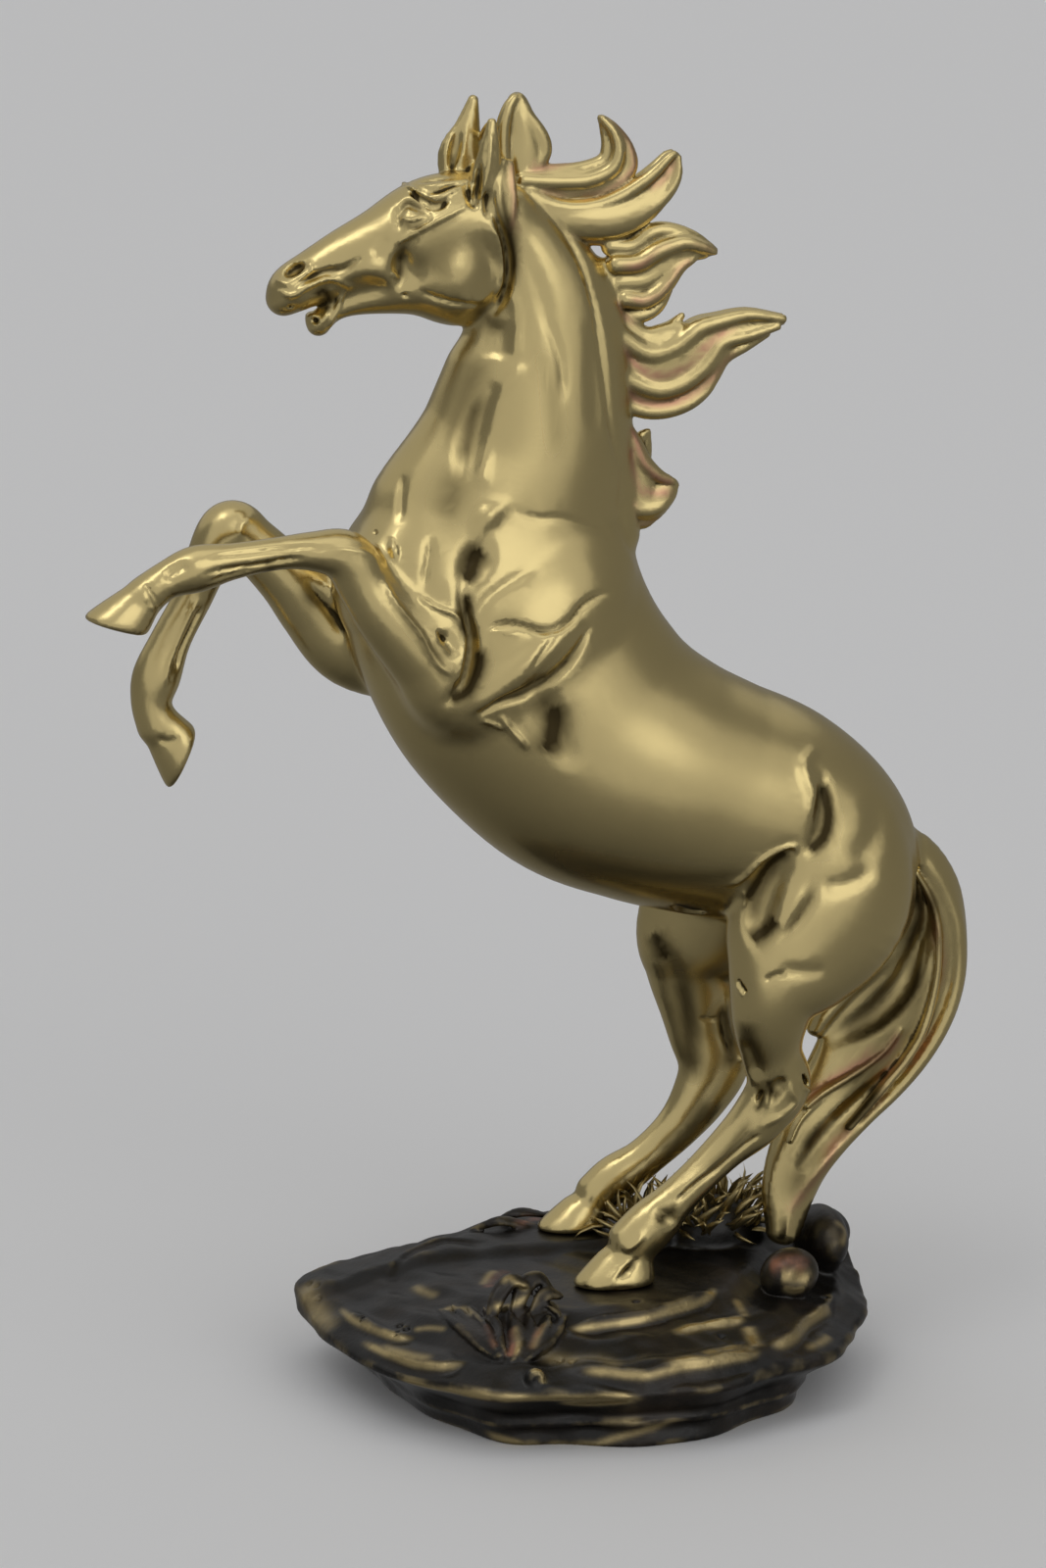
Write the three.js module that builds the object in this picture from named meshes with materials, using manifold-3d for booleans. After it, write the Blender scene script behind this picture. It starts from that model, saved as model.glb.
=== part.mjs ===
// A rearing horse on a rocky plinth, cast in resin with a gold and bronze finish.
// Millimetres, +Z up. The horse looks along -X and its left side faces -Y.
// The origin is on the plinth's underside, in the horse's middle plane, halfway along the plinth.

import * as THREE from "three";
import { mergeVertices } from "three/addons/utils/BufferGeometryUtils.js";
import Module from "manifold-3d";

const wasm = await Module();
wasm.setup();

// Driving dimensions
const BARREL = 25.5; // half width of the ribcage
const NECK = 15; // half width of the neck at its root
const CHEEK = 10.5; // half width of the head over the cheeks
const HIND_STANCE = 17.5; // hind hoof centres from the middle plane
const FORE_STANCE = 14.5; // fore hoof centres from the middle plane
const TAIL_THICK = 6.5; // half thickness of the tail across the horse
const LOCK = 3.8; // half thickness of a mane lock at its root
const PLINTH_LENGTH = 131;
const PLINTH_FRONT = 61.5; // front rim from the middle plane
const PLINTH_BACK = 38; // back rim from the middle plane
const PLINTH_TOP = 26; // rock under the near hind hoof
const FAR_TOP = 28; // rock under the far hind hoof
const RIM_HEIGHT = 14; // height of the overhanging rim
const FOOT_INSET = 5; // how far the foot stands back under the rim in front
const END_INSET = 11; // how much further it stands back at the two ends
const SEAM = 0.35; // gap between the two castings

const GOLD = new THREE.MeshStandardMaterial({ color: 0xb89b5a, roughness: 0.32, metalness: 0.9 });
const PATINA = new THREE.MeshStandardMaterial({ color: 0x2b241c, roughness: 0.5, metalness: 0.6 });

// Turns a closed geometry into a solid that can be joined and cut.
function solid(geometry) {
  geometry.deleteAttribute("normal");
  geometry.deleteAttribute("uv");
  const merged = mergeVertices(geometry, 1e-4);
  return new wasm.Manifold(
    new wasm.Mesh({
      numProp: 3,
      vertProperties: merged.attributes.position.array,
      triVerts: new Uint32Array(merged.index.array),
    }),
  );
}

const joined = (solids) => solids.reduce((sum, next) => sum.add(next));

function mesh(name, body, material) {
  const { vertProperties, triVerts } = body.getMesh();
  const geometry = new THREE.BufferGeometry();
  geometry.setAttribute("position", new THREE.BufferAttribute(vertProperties, 3));
  geometry.setIndex(new THREE.BufferAttribute(triVerts, 1));
  geometry.computeVertexNormals();
  const made = new THREE.Mesh(geometry, material);
  made.name = name;
  return made;
}

// Closes a stack of rings, each a list of points in the same turning sense, between two end points.
function skin(rings, start, end) {
  const sides = rings[0].length;
  const points = [start, ...rings.flat(), end];
  const index = [];
  const at = (ring, side) => 1 + ring * sides + (side % sides);
  for (let side = 0; side < sides; side++) {
    index.push(0, at(0, side + 1), at(0, side));
    for (let ring = 0; ring < rings.length - 1; ring++) {
      index.push(at(ring, side), at(ring, side + 1), at(ring + 1, side));
      index.push(at(ring, side + 1), at(ring + 1, side + 1), at(ring + 1, side));
    }
    index.push(points.length - 1, at(rings.length - 1, side), at(rings.length - 1, side + 1));
  }
  const geometry = new THREE.BufferGeometry().setFromPoints(points);
  geometry.setIndex(index);
  return solid(geometry);
}

// A body lofted through stations of x, y, z, half width across the horse and half depth in its plane.
// Lobes flute the section, as strands do a lock of hair. Grow fattens it for a clearance, and blunt ends
// are plain points.
function loft(stations, { sides = 12, steps = 1, grow = 0, lobes = 0, flute = 0.14, blunt = false } = {}) {
  const path = new THREE.CatmullRomCurve3(
    stations.map(([x, y, z]) => new THREE.Vector3(x, y, z)), false, "catmullrom", 0.5,
  );
  const widths = new THREE.CatmullRomCurve3(
    stations.map(([, , , across, deep]) => new THREE.Vector3(across, deep, 0)), false, "catmullrom", 0.5,
  );
  const count = steps * (stations.length - 1);
  const ring = (t, shrink, push) => {
    const along = path.getTangent(t);
    const across = new THREE.Vector3(0, 1, 0).addScaledVector(along, -along.y).normalize();
    const deep = along.clone().cross(across);
    const centre = path.getPoint(t).addScaledVector(along, push);
    const size = widths.getPoint(t);
    return Array.from({ length: sides }, (_, side) => {
      const angle = (2 * Math.PI * side) / sides;
      const swell = shrink * (1 + (lobes ? flute * Math.cos(lobes * angle) : 0));
      return centre.clone()
        .addScaledVector(across, (size.x + grow) * swell * Math.cos(angle))
        .addScaledVector(deep, (size.y + grow) * swell * Math.sin(angle));
    });
  };
  const round = (t) => Math.min(widths.getPoint(t).x, widths.getPoint(t).y) + grow;
  const tip = (t, push) => path.getPoint(t).addScaledVector(path.getTangent(t), push);
  const rings = Array.from({ length: count + 1 }, (_, i) => ring(i / count, 1, 0));
  if (!blunt) {
    rings.unshift(ring(0, 0.7, -0.7 * round(0)));
    rings.push(ring(1, 0.7, 0.7 * round(1)));
  }
  return skin(rings, tip(0, -round(0)), tip(1, round(1)));
}

// A muscle or stone: centre, half sizes along, across and deep, and the pitch of its long axis in degrees.
function bulge([x, y, z], [along, across, deep], pitch = 0, sides = 14) {
  const geometry = new THREE.SphereGeometry(1, sides, Math.round(sides * 0.6));
  geometry.scale(along, across, deep);
  geometry.rotateY(THREE.MathUtils.degToRad(-pitch));
  geometry.translate(x, y, z);
  return solid(geometry);
}

const both = (make) => [1, -1].map(make);

// Trunk, neck and head
const TRUNK = [
  [-42, 0, 190, 0.6 * BARREL, 17],
  [-33, 0, 185, 0.76 * BARREL, 25],
  [-17.4, 0, 170.6, 0.93 * BARREL, 32.6],
  [-0.8, 0, 152, BARREL, 32.2],
  [14, 0, 143, 1.02 * BARREL, 30],
  [28, 0, 137.3, 0.98 * BARREL, 28.2],
  [42, 0, 132.4, 0.94 * BARREL, 26.4],
  [54.3, 0, 124.6, 0.88 * BARREL, 23.2],
  [61.6, 0, 116, 0.72 * BARREL, 18],
  [66, 0, 109, 0.5 * BARREL, 12.5],
];
const NECK_LINE = [
  [-22, 0, 188, 1.25 * NECK, 33],
  [-19.5, 0, 204, 1.1 * NECK, 30],
  [-14.2, 0, 217, NECK, 23.8],
  [-12, 0, 230, 0.9 * NECK, 21.6],
  [-10.4, 0, 243, 0.8 * NECK, 19],
  [-11, 0, 253.5, 0.73 * NECK, 15],
  [-14.5, 0, 263, 0.66 * NECK, 11.5],
  [-19, 0, 272, 0.58 * NECK, 8.5],
];
const SKULL = [
  [-23, 0, 272.5, 0.85 * CHEEK, 9],
  [-30, 0, 272, 0.93 * CHEEK, 11],
  [-37, 0, 270, 0.93 * CHEEK, 11.5],
  [-46, 0, 266.3, 0.78 * CHEEK, 9.7],
  [-55, 0, 263.3, 0.6 * CHEEK, 7.9],
  [-62, 0, 260.9, 0.53 * CHEEK, 6.1],
  [-67.2, 0, 258.2, 0.56 * CHEEK, 5.4],
  [-69.4, 0, 256, 0.46 * CHEEK, 4],
];
const JAW = [
  [-33, 0, 260, 0.9 * CHEEK, 10],
  [-40, 0, 259, 0.76 * CHEEK, 7.6],
  [-47, 0, 256.6, 0.55 * CHEEK, 4.8],
  [-54, 0, 254.8, 0.4 * CHEEK, 3.2],
  [-58.5, 0, 252.6, 0.34 * CHEEK, 2.3],
  [-61.6, 0, 250, 0.34 * CHEEK, 2.8],
];
const NEAR_EAR = [
  [-25, -6, 276, 2.4, 3],
  [-24.9, -6.8, 282, 2.5, 3.3],
  [-24.2, -7.2, 288, 1.9, 2.5],
  [-23.6, -7, 294.6, 0.8, 1],
];
const FAR_EAR = [
  [-28.6, 4, 278, 2.6, 3.6],
  [-28.4, 4.5, 285.8, 2.8, 5],
  [-26.6, 4.8, 292, 1.9, 3],
  [-25.2, 5, 298.2, 1.1, 1.2],
];

function head() {
  const parts = [
    loft(SKULL, { sides: 14 }),
    loft(JAW, { sides: 10 }),
    bulge([-31.8, 0, 261.6], [11, CHEEK, 13.2], 20),
    bulge([-60.7, 0, 249.8], [3.6, 3.6, 3.1], 0, 10),
    loft(NEAR_EAR, { sides: 8 }),
    loft(FAR_EAR, { sides: 8 }),
  ];
  for (const side of [1, -1]) {
    parts.push(bulge([-42.5, side * 7.4, 274.2], [3.2, 2.2, 2.6], 30, 8));
    parts.push(bulge([-39.5, side * 6.8, 277.4], [5, 2.2, 1.8], 25, 8));
    parts.push(bulge([-68.3, side * 3.6, 259.6], [3.4, 2.4, 2.6], 30, 8));
  }
  const pits = [
    ...both((side) => bulge([-69.2, side * 6.4, 259.7], [2.3, 1.8, 1.5], 40, 8)),
    bulge([-24.6, -9.4, 285], [1.2, 1.4, 6.5], 0, 8),
    bulge([-30, 1.6, 287], [1.8, 1.8, 4.4], 0, 8),
  ];
  return pits.reduce((body, pit) => body.subtract(pit), joined(parts));
}

// Mane: a bed along the crest and flame-shaped locks blown back from it.
const CREST = [
  [-12, 0, 275, 4.8, 4.5],
  [-5, 0, 264.5, 5, 4.8],
  [2.5, 0, 253, 5.2, 4.8],
  [5, 0, 240, 5.4, 4.6],
  [5.2, 0, 226, 5.8, 4.6],
  [6.2, 0, 212, 6.2, 4.8],
  [7, 0, 200, 6.5, 5],
];
const LOCKS = [
  [[-13, 0, 276, 1.1 * LOCK, 5.5], [-14.6, 0, 284.5, 1.15 * LOCK, 6], [-15.2, 0, 291, LOCK, 5],
    [-16.4, 0, 296, 0.65 * LOCK, 3], [-16.3, 0, 298.7, 0.4 * LOCK, 1.6]],
  [[-14, -1, 279, LOCK, 4.8], [-7, -1, 280.2, LOCK, 4.4], [0.5, -1, 280, 0.95 * LOCK, 4.4],
    [6, -1, 282.4, 0.8 * LOCK, 4.4], [6.7, -1, 287.5, 0.65 * LOCK, 3.4], [3.4, -1, 293.4, 0.35 * LOCK, 1.3]],
  [[-12, -2, 274, LOCK, 5], [-4, -2.5, 272, LOCK, 4.6], [5, -3, 271.6, 0.95 * LOCK, 5],
    [12.4, -2.5, 274.6, 0.8 * LOCK, 4.3], [17.2, -2, 280, 0.55 * LOCK, 2.9],
    [19.2, -2, 285, 0.3 * LOCK, 1.2]],
  [[0, -1, 257, LOCK, 7], [8, -1, 256.4, LOCK, 8], [14, -1.5, 260.4, 0.9 * LOCK, 7.6],
    [20, -2, 264, 0.75 * LOCK, 4.8], [27.8, -2, 264, 0.35 * LOCK, 1.7]],
  [[2, -1, 237.5, LOCK, 11], [10, -1.5, 236, 1.1 * LOCK, 10.4], [18, -2, 238.6, 1.15 * LOCK, 10.8],
    [25.4, -2, 241, LOCK, 8.6], [32, -2, 245, 0.8 * LOCK, 4.4], [44.4, -2, 247.6, 0.35 * LOCK, 1.4]],
  [[6, -1, 225, LOCK, 3.5], [9, -2, 214.5, LOCK, 5.6], [12.4, -2, 207.4, LOCK, 6],
    [17, -2, 208.8, 0.8 * LOCK, 4], [19.8, -2, 211, 0.35 * LOCK, 1.5]],
  [[8, -1, 211, 0.7 * LOCK, 3.4], [12, -1, 216.8, 0.6 * LOCK, 2.9], [13.6, -1, 222.8, 0.3 * LOCK, 1.1]],
  [[-20.5, -6, 285, 0.45 * LOCK, 1.5], [-21.2, -7.9, 280, 0.45 * LOCK, 2],
    [-20.6, -8.6, 271, 0.2 * LOCK, 0.8]],
];

const mane = () => joined([
  loft(CREST, { sides: 8 }),
  ...LOCKS.map((lock) => loft(lock, { sides: 9, lobes: 3, blunt: true })),
]);

// Legs: the stations run from the body down to the pastern, and a hoof closes each.
const NEAR_FORE = [
  [-20, -0.86 * FORE_STANCE, 170, 9, 14],
  [-33, -FORE_STANCE, 168.5, 8.8, 10.8],
  [-39.5, -1.05 * FORE_STANCE, 176.5, 8, 9.8],
  [-49, -1.05 * FORE_STANCE, 186, 6.8, 7.4],
  [-54.5, -1.04 * FORE_STANCE, 193.5, 5.8, 6.2],
  [-58.6, -1.03 * FORE_STANCE, 200.2, 5.8, 5.9],
  [-66, -1.02 * FORE_STANCE, 201.7, 5, 4.4],
  [-74, -FORE_STANCE, 201.5, 3.7, 3.7],
  [-84, -FORE_STANCE, 200.2, 3.7, 4.1],
  [-92, -FORE_STANCE, 198.9, 4.6, 5.3],
  [-98.5, -FORE_STANCE, 196.8, 4.1, 4.3],
  [-103.5, -FORE_STANCE, 193.6, 4.4, 4.4],
];
const FAR_FORE = [
  [-36, 0.86 * FORE_STANCE, 172, 9, 13],
  [-51, 0.95 * FORE_STANCE, 174, 8.6, 10.5],
  [-59.5, FORE_STANCE, 183, 7.6, 9.4],
  [-66.5, FORE_STANCE, 190, 6.6, 7.2],
  [-74.5, FORE_STANCE, 198, 5.9, 6.3],
  [-79.8, FORE_STANCE, 201.4, 6, 6.8],
  [-85, FORE_STANCE, 194, 5, 5.2],
  [-88.3, FORE_STANCE, 186.5, 3.9, 4.5],
  [-93.5, FORE_STANCE, 177, 3.7, 4.7],
  [-97, FORE_STANCE, 168.5, 4.6, 5.6],
  [-98.4, FORE_STANCE, 162.5, 4.2, 4.6],
  [-97, FORE_STANCE, 157, 4.6, 4.8],
];
const NEAR_HIND = [
  [45, -0.46 * HIND_STANCE, 140, 6, 10],
  [51.5, -0.66 * HIND_STANCE, 129, 11.5, 17.5],
  [52, -0.8 * HIND_STANCE, 115, 12.5, 22],
  [45, -0.97 * HIND_STANCE, 103, 10.5, 17.5],
  [40.5, -1.06 * HIND_STANCE, 95, 8.6, 11.3],
  [39.2, -1.06 * HIND_STANCE, 87, 7, 8.8],
  [40, -HIND_STANCE, 79, 5.6, 7.2],
  [42, -0.95 * HIND_STANCE, 71, 5.3, 7.6],
  [37, -0.92 * HIND_STANCE, 63, 4.8, 6.6],
  [29.5, -0.92 * HIND_STANCE, 56.3, 3.9, 5],
  [23, -0.94 * HIND_STANCE, 50.3, 3.7, 4.6],
  [17, -0.96 * HIND_STANCE, 44.8, 4, 4.9],
  [11.5, -0.98 * HIND_STANCE, 39.6, 4.7, 6.2],
  [6.5, -HIND_STANCE, 35.4, 4.7, 6],
];
const FAR_HIND = [
  [45, 0.46 * HIND_STANCE, 140, 6, 10],
  [50, 0.66 * HIND_STANCE, 128, 11.5, 17.5],
  [43.5, 0.8 * HIND_STANCE, 114, 12.5, 24.5],
  [33.6, 0.97 * HIND_STANCE, 99, 10, 18.2],
  [31.4, 1.04 * HIND_STANCE, 91, 8.2, 12.6],
  [31.8, 1.03 * HIND_STANCE, 83, 6.8, 10],
  [33, HIND_STANCE, 75, 5.7, 8.6],
  [35.5, 0.95 * HIND_STANCE, 67.5, 5.2, 8.8],
  [32.2, 0.93 * HIND_STANCE, 59.4, 4.7, 7.2],
  [26.4, 0.93 * HIND_STANCE, 51.6, 3.9, 5.6],
  [18.6, 0.95 * HIND_STANCE, 44.6, 3.9, 5],
  [11.8, 0.98 * HIND_STANCE, 39.8, 4.6, 5.9],
  [7, HIND_STANCE, 35.8, 4.6, 5.6],
];

// Each hoof: centre of its sole, the sole's pitch in degrees from level, half length, half width,
// height of the coronet over the sole, and how far the coronet is set back from the sole's middle.
const NEAR_FORE_HOOF = [[-110.8, -FORE_STANCE, 186.6], -16.6, 7.9, 6, 7.7, 3.8];
const FAR_FORE_HOOF = [[-91.2, FORE_STANCE, 148.6], 65.7, 8.4, 5.8, 8.8, 5.4];
const NEAR_HIND_HOOF = [[2.3, -HIND_STANCE, PLINTH_TOP + SEAM], 0, 10.6, 6.8, 6.6, 2.6];
const FAR_HIND_HOOF = [[0.5, HIND_STANCE, FAR_TOP + SEAM], 0, 9.4, 6.4, 6, 3.4];
const HEEL_RUN = 0.94; // reach of the heel as a share of the toe's
const HEEL_SQUARENESS = 0.7; // power below one that squares off the heel

function hoof([[x, y, z], pitch, half, wide, high, back], grow = 0) {
  const turn = THREE.MathUtils.degToRad(pitch);
  const toe = new THREE.Vector3(-Math.cos(turn), 0, -Math.sin(turn));
  const up = new THREE.Vector3(-Math.sin(turn), 0, Math.cos(turn));
  const sole = new THREE.Vector3(x, y, z);
  const sides = 12;
  const level = (rise, share, size) => Array.from({ length: sides }, (_, side) => {
    const angle = (-2 * Math.PI * side) / sides;
    const ahead = Math.cos(angle);
    const run = ahead > 0 ? ahead : -HEEL_RUN * Math.abs(ahead) ** HEEL_SQUARENESS;
    return sole.clone()
      .addScaledVector(up, rise * high)
      .addScaledVector(toe, -share * back + (half * size + grow) * run)
      .add(new THREE.Vector3(0, (wide * size + grow) * Math.sin(angle), 0));
  });
  const rings = [level(-grow / high, 0, 1), level(0.5, 0.5, 0.86), level(1, 1, 0.72), level(1.25, 1.15, 0.5)];
  const under = sole.clone().addScaledVector(up, -grow);
  const over = sole.clone().addScaledVector(up, 1.35 * high).addScaledVector(toe, -1.2 * back);
  return skin(rings, under, over);
}

const limbs = (grow = 0) => joined([
  loft(NEAR_FORE, { sides: 10, grow }),
  loft(FAR_FORE, { sides: 10, grow }),
  loft(NEAR_HIND, { sides: 10, grow }),
  loft(FAR_HIND, { sides: 10, grow }),
  hoof(NEAR_FORE_HOOF, grow),
  hoof(FAR_FORE_HOOF, grow),
  hoof(NEAR_HIND_HOOF, grow),
  hoof(FAR_HIND_HOOF, grow),
]);

// Tail: a heavy fluted ribbon that arches off the croup and comes down to the rock.
const TAIL = [
  [67, 0, 121, 0.9 * TAIL_THICK, 6],
  [76.4, 0, 120, TAIL_THICK, 7.2],
  [82.2, 0.5, 111, TAIL_THICK, 8.6],
  [83, 1, 100, TAIL_THICK, 9.8],
  [78.6, 1.5, 88, TAIL_THICK, 13],
  [70.8, 1, 76, TAIL_THICK, 13.6],
  [62, 0, 63.5, 0.95 * TAIL_THICK, 11.6],
  [53.4, -2, 52.4, 0.85 * TAIL_THICK, 9.2],
  [48.6, -4, 42, 0.75 * TAIL_THICK, 7.4],
  [46.8, -5.5, 31.4, 0.6 * TAIL_THICK, 4.6],
];

const tail = (grow = 0) => loft(TAIL, { sides: 16, grow, lobes: 4, flute: 0.07 });

// Muscles that stand out from the trunk on both sides: the shoulder from the withers down to the
// elbow, and the breast ahead of it.
const SHOULDER = [
  [1, 7.5, 197, 4, 8.5],
  [-5.5, 12, 189.5, 8, 13],
  [-14, 14.6, 181, 9.9, 14.5],
  [-24, 15.2, 172.5, 9.6, 11.5],
  [-30, 15, 166, 7.6, 6.5],
];

const muscles = () => both((side) => joined([
  loft(SHOULDER.map(([x, y, ...rest]) => [x, side * y, ...rest]), { sides: 12 }),
  bulge([-43.5, side * 6.5, 196], [11, 9, 13.5], -38, 10),
]));

const horse = joined([
  loft(TRUNK, { sides: 16, steps: 2 }),
  loft(NECK_LINE, { sides: 14, steps: 2 }),
  head(),
  mane(),
  limbs(),
  tail(),
  ...muscles(),
]);

// Plinth: rings of an irregular outline, from the middle of its flat underside, out and up the
// undercut foot, over the rim and back in across the ledges of the top.
const smooth = (low, high, value) => THREE.MathUtils.smoothstep(value, low, high);

// The rim in plan: an oval with a drawn-out left point, a blunt right end and small breaks.
function rimRadius(angle) {
  const reach = Math.sin(angle) > 0 ? PLINTH_BACK : PLINTH_FRONT;
  const half = PLINTH_LENGTH / 2;
  const oval = 1 / Math.hypot(Math.cos(angle) / half, Math.sin(angle) / reach);
  const left = 6 * Math.exp(-(((angle - 2.83) / 0.3) ** 2));
  const right = 3.5 * Math.exp(-(((angle - 5.8) / 0.42) ** 2));
  const breaks = 1.3 * Math.sin(5 * angle + 0.6) + 0.9 * Math.sin(9 * angle + 2) + 0.6 * Math.sin(14 * angle);
  return oval + left + right + breaks;
}

// Height of the rock: a level top that steps down towards the front in three ledges.
function rockTop(x, y, share) {
  const plateau = PLINTH_TOP + (FAR_TOP - PLINTH_TOP) * smooth(4, 9, y);
  const ledges = 3.2 * smooth(0.6, 0.66, share) + 3 * smooth(0.76, 0.82, share) + 3.4 * smooth(0.9, 1, share);
  const fall = 1 - 0.75 * smooth(-8, 12, y) * (1 - 0.85 * smooth(8, 48, -x));
  return plateau - ledges * fall;
}

const FOOT_RINGS = [[1, 0], [0.95, 4], [0.94, 8], [0.98, 11.5]]; // share of the rim, height
const TOP_RINGS = [1, 0.93, 0.9, 0.82, 0.76, 0.66, 0.6, 0.3]; // share of the rim

function rock() {
  const sides = 38;
  const ring = (place) => Array.from({ length: sides }, (_, side) => place((2 * Math.PI * side) / sides));
  const at = (angle, radius) => new THREE.Vector3(radius * Math.cos(angle), radius * Math.sin(angle), 0);
  const foot = FOOT_RINGS.map(([share, height]) => ring((angle) => {
    const inset = FOOT_INSET + END_INSET * Math.abs(Math.cos(angle)) ** 1.5;
    return at(angle, share * rimRadius(angle) - inset * (1 - height / RIM_HEIGHT)).setZ(height);
  }));
  const top = TOP_RINGS.map((share) => ring((angle) => {
    const point = at(angle, share * rimRadius(angle));
    return point.setZ(rockTop(point.x, point.y, share));
  }));
  return skin([...foot, ...top], new THREE.Vector3(0, 0, 0), new THREE.Vector3(0, 0, PLINTH_TOP));
}

// A leaf blade from its root, in a direction given in plan and by its rise, curling down at the tip.
function blade([x, y, z], plan, rise, length, width) {
  const turn = THREE.MathUtils.degToRad(plan);
  const lift = THREE.MathUtils.degToRad(rise);
  const stations = [0.2, 0.6, 1].map((share) => {
    const out = share * length;
    return [
      x + out * Math.cos(turn) * Math.cos(lift),
      y + out * Math.sin(turn) * Math.cos(lift),
      z + out * Math.sin(lift) - 0.25 * length * share * share,
      width * (0.6 + 1.6 * share) * (1.05 - share),
      0.35 * width * (1.15 - share),
    ];
  });
  return loft(stations, { sides: 4, blunt: true });
}

// A spray of blades from one root, turned evenly between two directions in plan.
function fan(root, count, from, to, rise, length, width) {
  return Array.from({ length: count }, (_, i) => {
    const plan = from + ((to - from) * i) / (count - 1);
    const vary = 1 + 0.12 * Math.sin(7 * i);
    return blade(root, plan, rise + 8 * Math.cos(5 * i), length * vary, width);
  });
}

const plants = () => joined([
  ...fan([-25, -33, 23.5], 7, 188, 336, 8, 17, 4.2),
  ...fan([-24, -29, 26], 5, 140, 350, 38, 11, 4),
  ...fan([-14, 21, FAR_TOP - 1], 4, 120, 300, 20, 9, 3),
  bulge([33, 8, FAR_TOP], [14, 9, 10], 0, 10),
  bulge([17, 9, FAR_TOP], [9, 8, 6], 0, 10),
  ...fan([18, 9, FAR_TOP + 2], 4, 150, 230, 40, 14, 4.4),
  ...fan([30, 7, FAR_TOP + 5], 5, 170, 380, 50, 14, 4.6),
  bulge([-22.8, -48.2, 16.5], [2.6, 2.4, 2.8], 0, 8),
]);

const clearance = joined([limbs(SEAM), tail(SEAM)]);
const plinth = joined([
  rock(),
  plants(),
  bulge([43.3, -23, 27], [7.2, 6, 6.3], 15, 10),
  bulge([57.5, -2, 28], [6, 11, 7.6], 0, 10),
]).subtract(clearance);

const figurine = new THREE.Group();
figurine.add(mesh("horse", horse, GOLD));
figurine.add(mesh("rock_base", plinth, PATINA));

export default figurine;
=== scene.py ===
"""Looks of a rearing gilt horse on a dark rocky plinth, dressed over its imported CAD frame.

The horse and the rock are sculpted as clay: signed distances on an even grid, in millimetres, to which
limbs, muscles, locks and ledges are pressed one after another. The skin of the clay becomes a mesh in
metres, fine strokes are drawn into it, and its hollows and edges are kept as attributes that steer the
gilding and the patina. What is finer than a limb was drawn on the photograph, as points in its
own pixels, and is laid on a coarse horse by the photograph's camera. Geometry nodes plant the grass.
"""

import logging
import math
from dataclasses import dataclass, field
from enum import Enum
from typing import Sequence

import bpy
import numpy as np
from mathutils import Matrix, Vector
from mathutils.bvhtree import BVHTree
from mathutils.kdtree import KDTree


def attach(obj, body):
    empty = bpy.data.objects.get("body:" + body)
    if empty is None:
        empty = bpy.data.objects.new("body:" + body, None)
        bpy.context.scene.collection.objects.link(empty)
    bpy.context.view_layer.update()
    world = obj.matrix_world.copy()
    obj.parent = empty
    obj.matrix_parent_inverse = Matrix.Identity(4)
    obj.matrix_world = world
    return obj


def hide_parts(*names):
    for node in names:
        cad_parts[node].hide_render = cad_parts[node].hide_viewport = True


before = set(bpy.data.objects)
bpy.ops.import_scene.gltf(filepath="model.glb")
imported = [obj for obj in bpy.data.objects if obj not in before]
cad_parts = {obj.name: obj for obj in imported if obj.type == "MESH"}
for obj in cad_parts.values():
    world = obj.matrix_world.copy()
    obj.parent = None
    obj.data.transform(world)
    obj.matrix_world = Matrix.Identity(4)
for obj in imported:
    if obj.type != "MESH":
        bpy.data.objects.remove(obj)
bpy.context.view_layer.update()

LOG = logging.getLogger("figurine")
MM = 0.001
FAR = 40.0
BODY = "root"

Point = Sequence[float]
Station = Sequence[float]
Spot = tuple[float, float]

# Sizes shared with the CAD source, in millimetres
BARREL = 25.5
NECK = 15.0
CHEEK = 10.5
HIND_STANCE = 17.5
FORE_STANCE = 14.5
TAIL_THICK = 6.5
LOCK = 3.8
PLINTH_LENGTH = 131.0
PLINTH_FRONT = 61.5
PLINTH_BACK = 38.0
PLINTH_TOP = 26.0
FAR_TOP = 28.0
RIM_HEIGHT = 14.0
FOOT_INSET = 5.0
END_INSET = 11.0


def smooth_step(low: float, high: float, value: np.ndarray) -> np.ndarray:
    """Rises smoothly from 0 at low to 1 at high."""
    share = np.clip((value - low) / (high - low), 0, 1)
    return share * share * (3 - 2 * share)


def blend_min(a: np.ndarray, b: np.ndarray, width: float) -> np.ndarray:
    """Joins two distance fields with a fillet.

    Args:
        a: The first field.
        b: The second field.
        width: Size of the fillet, 0 for a crisp join.

    Returns:
        The joined field.
    """
    if width <= 0:
        return np.minimum(a, b)
    near = np.maximum(width - np.abs(a - b), 0) / width
    return np.minimum(a, b) - near * near * width * 0.25


def curve_through(rows: np.ndarray, per_span: int) -> np.ndarray:
    """Samples a smooth curve through rows of numbers.

    Args:
        rows: Control rows, one per station.
        per_span: Samples between two stations.

    Returns:
        The sampled rows, the control rows among them.
    """
    ends = np.vstack([2 * rows[0] - rows[1], rows, 2 * rows[-1] - rows[-2]])
    out = []
    for i in range(len(rows) - 1):
        a, b, c, d = ends[i : i + 4]
        for step in range(per_span):
            t = step / per_span
            out.append(
                0.5
                * (
                    2 * b
                    + (c - a) * t
                    + (2 * a - 5 * b + 4 * c - d) * t * t
                    + (3 * b - a - 3 * c + d) * t**3
                )
            )
    out.append(rows[-1])
    return np.array(out)


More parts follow.
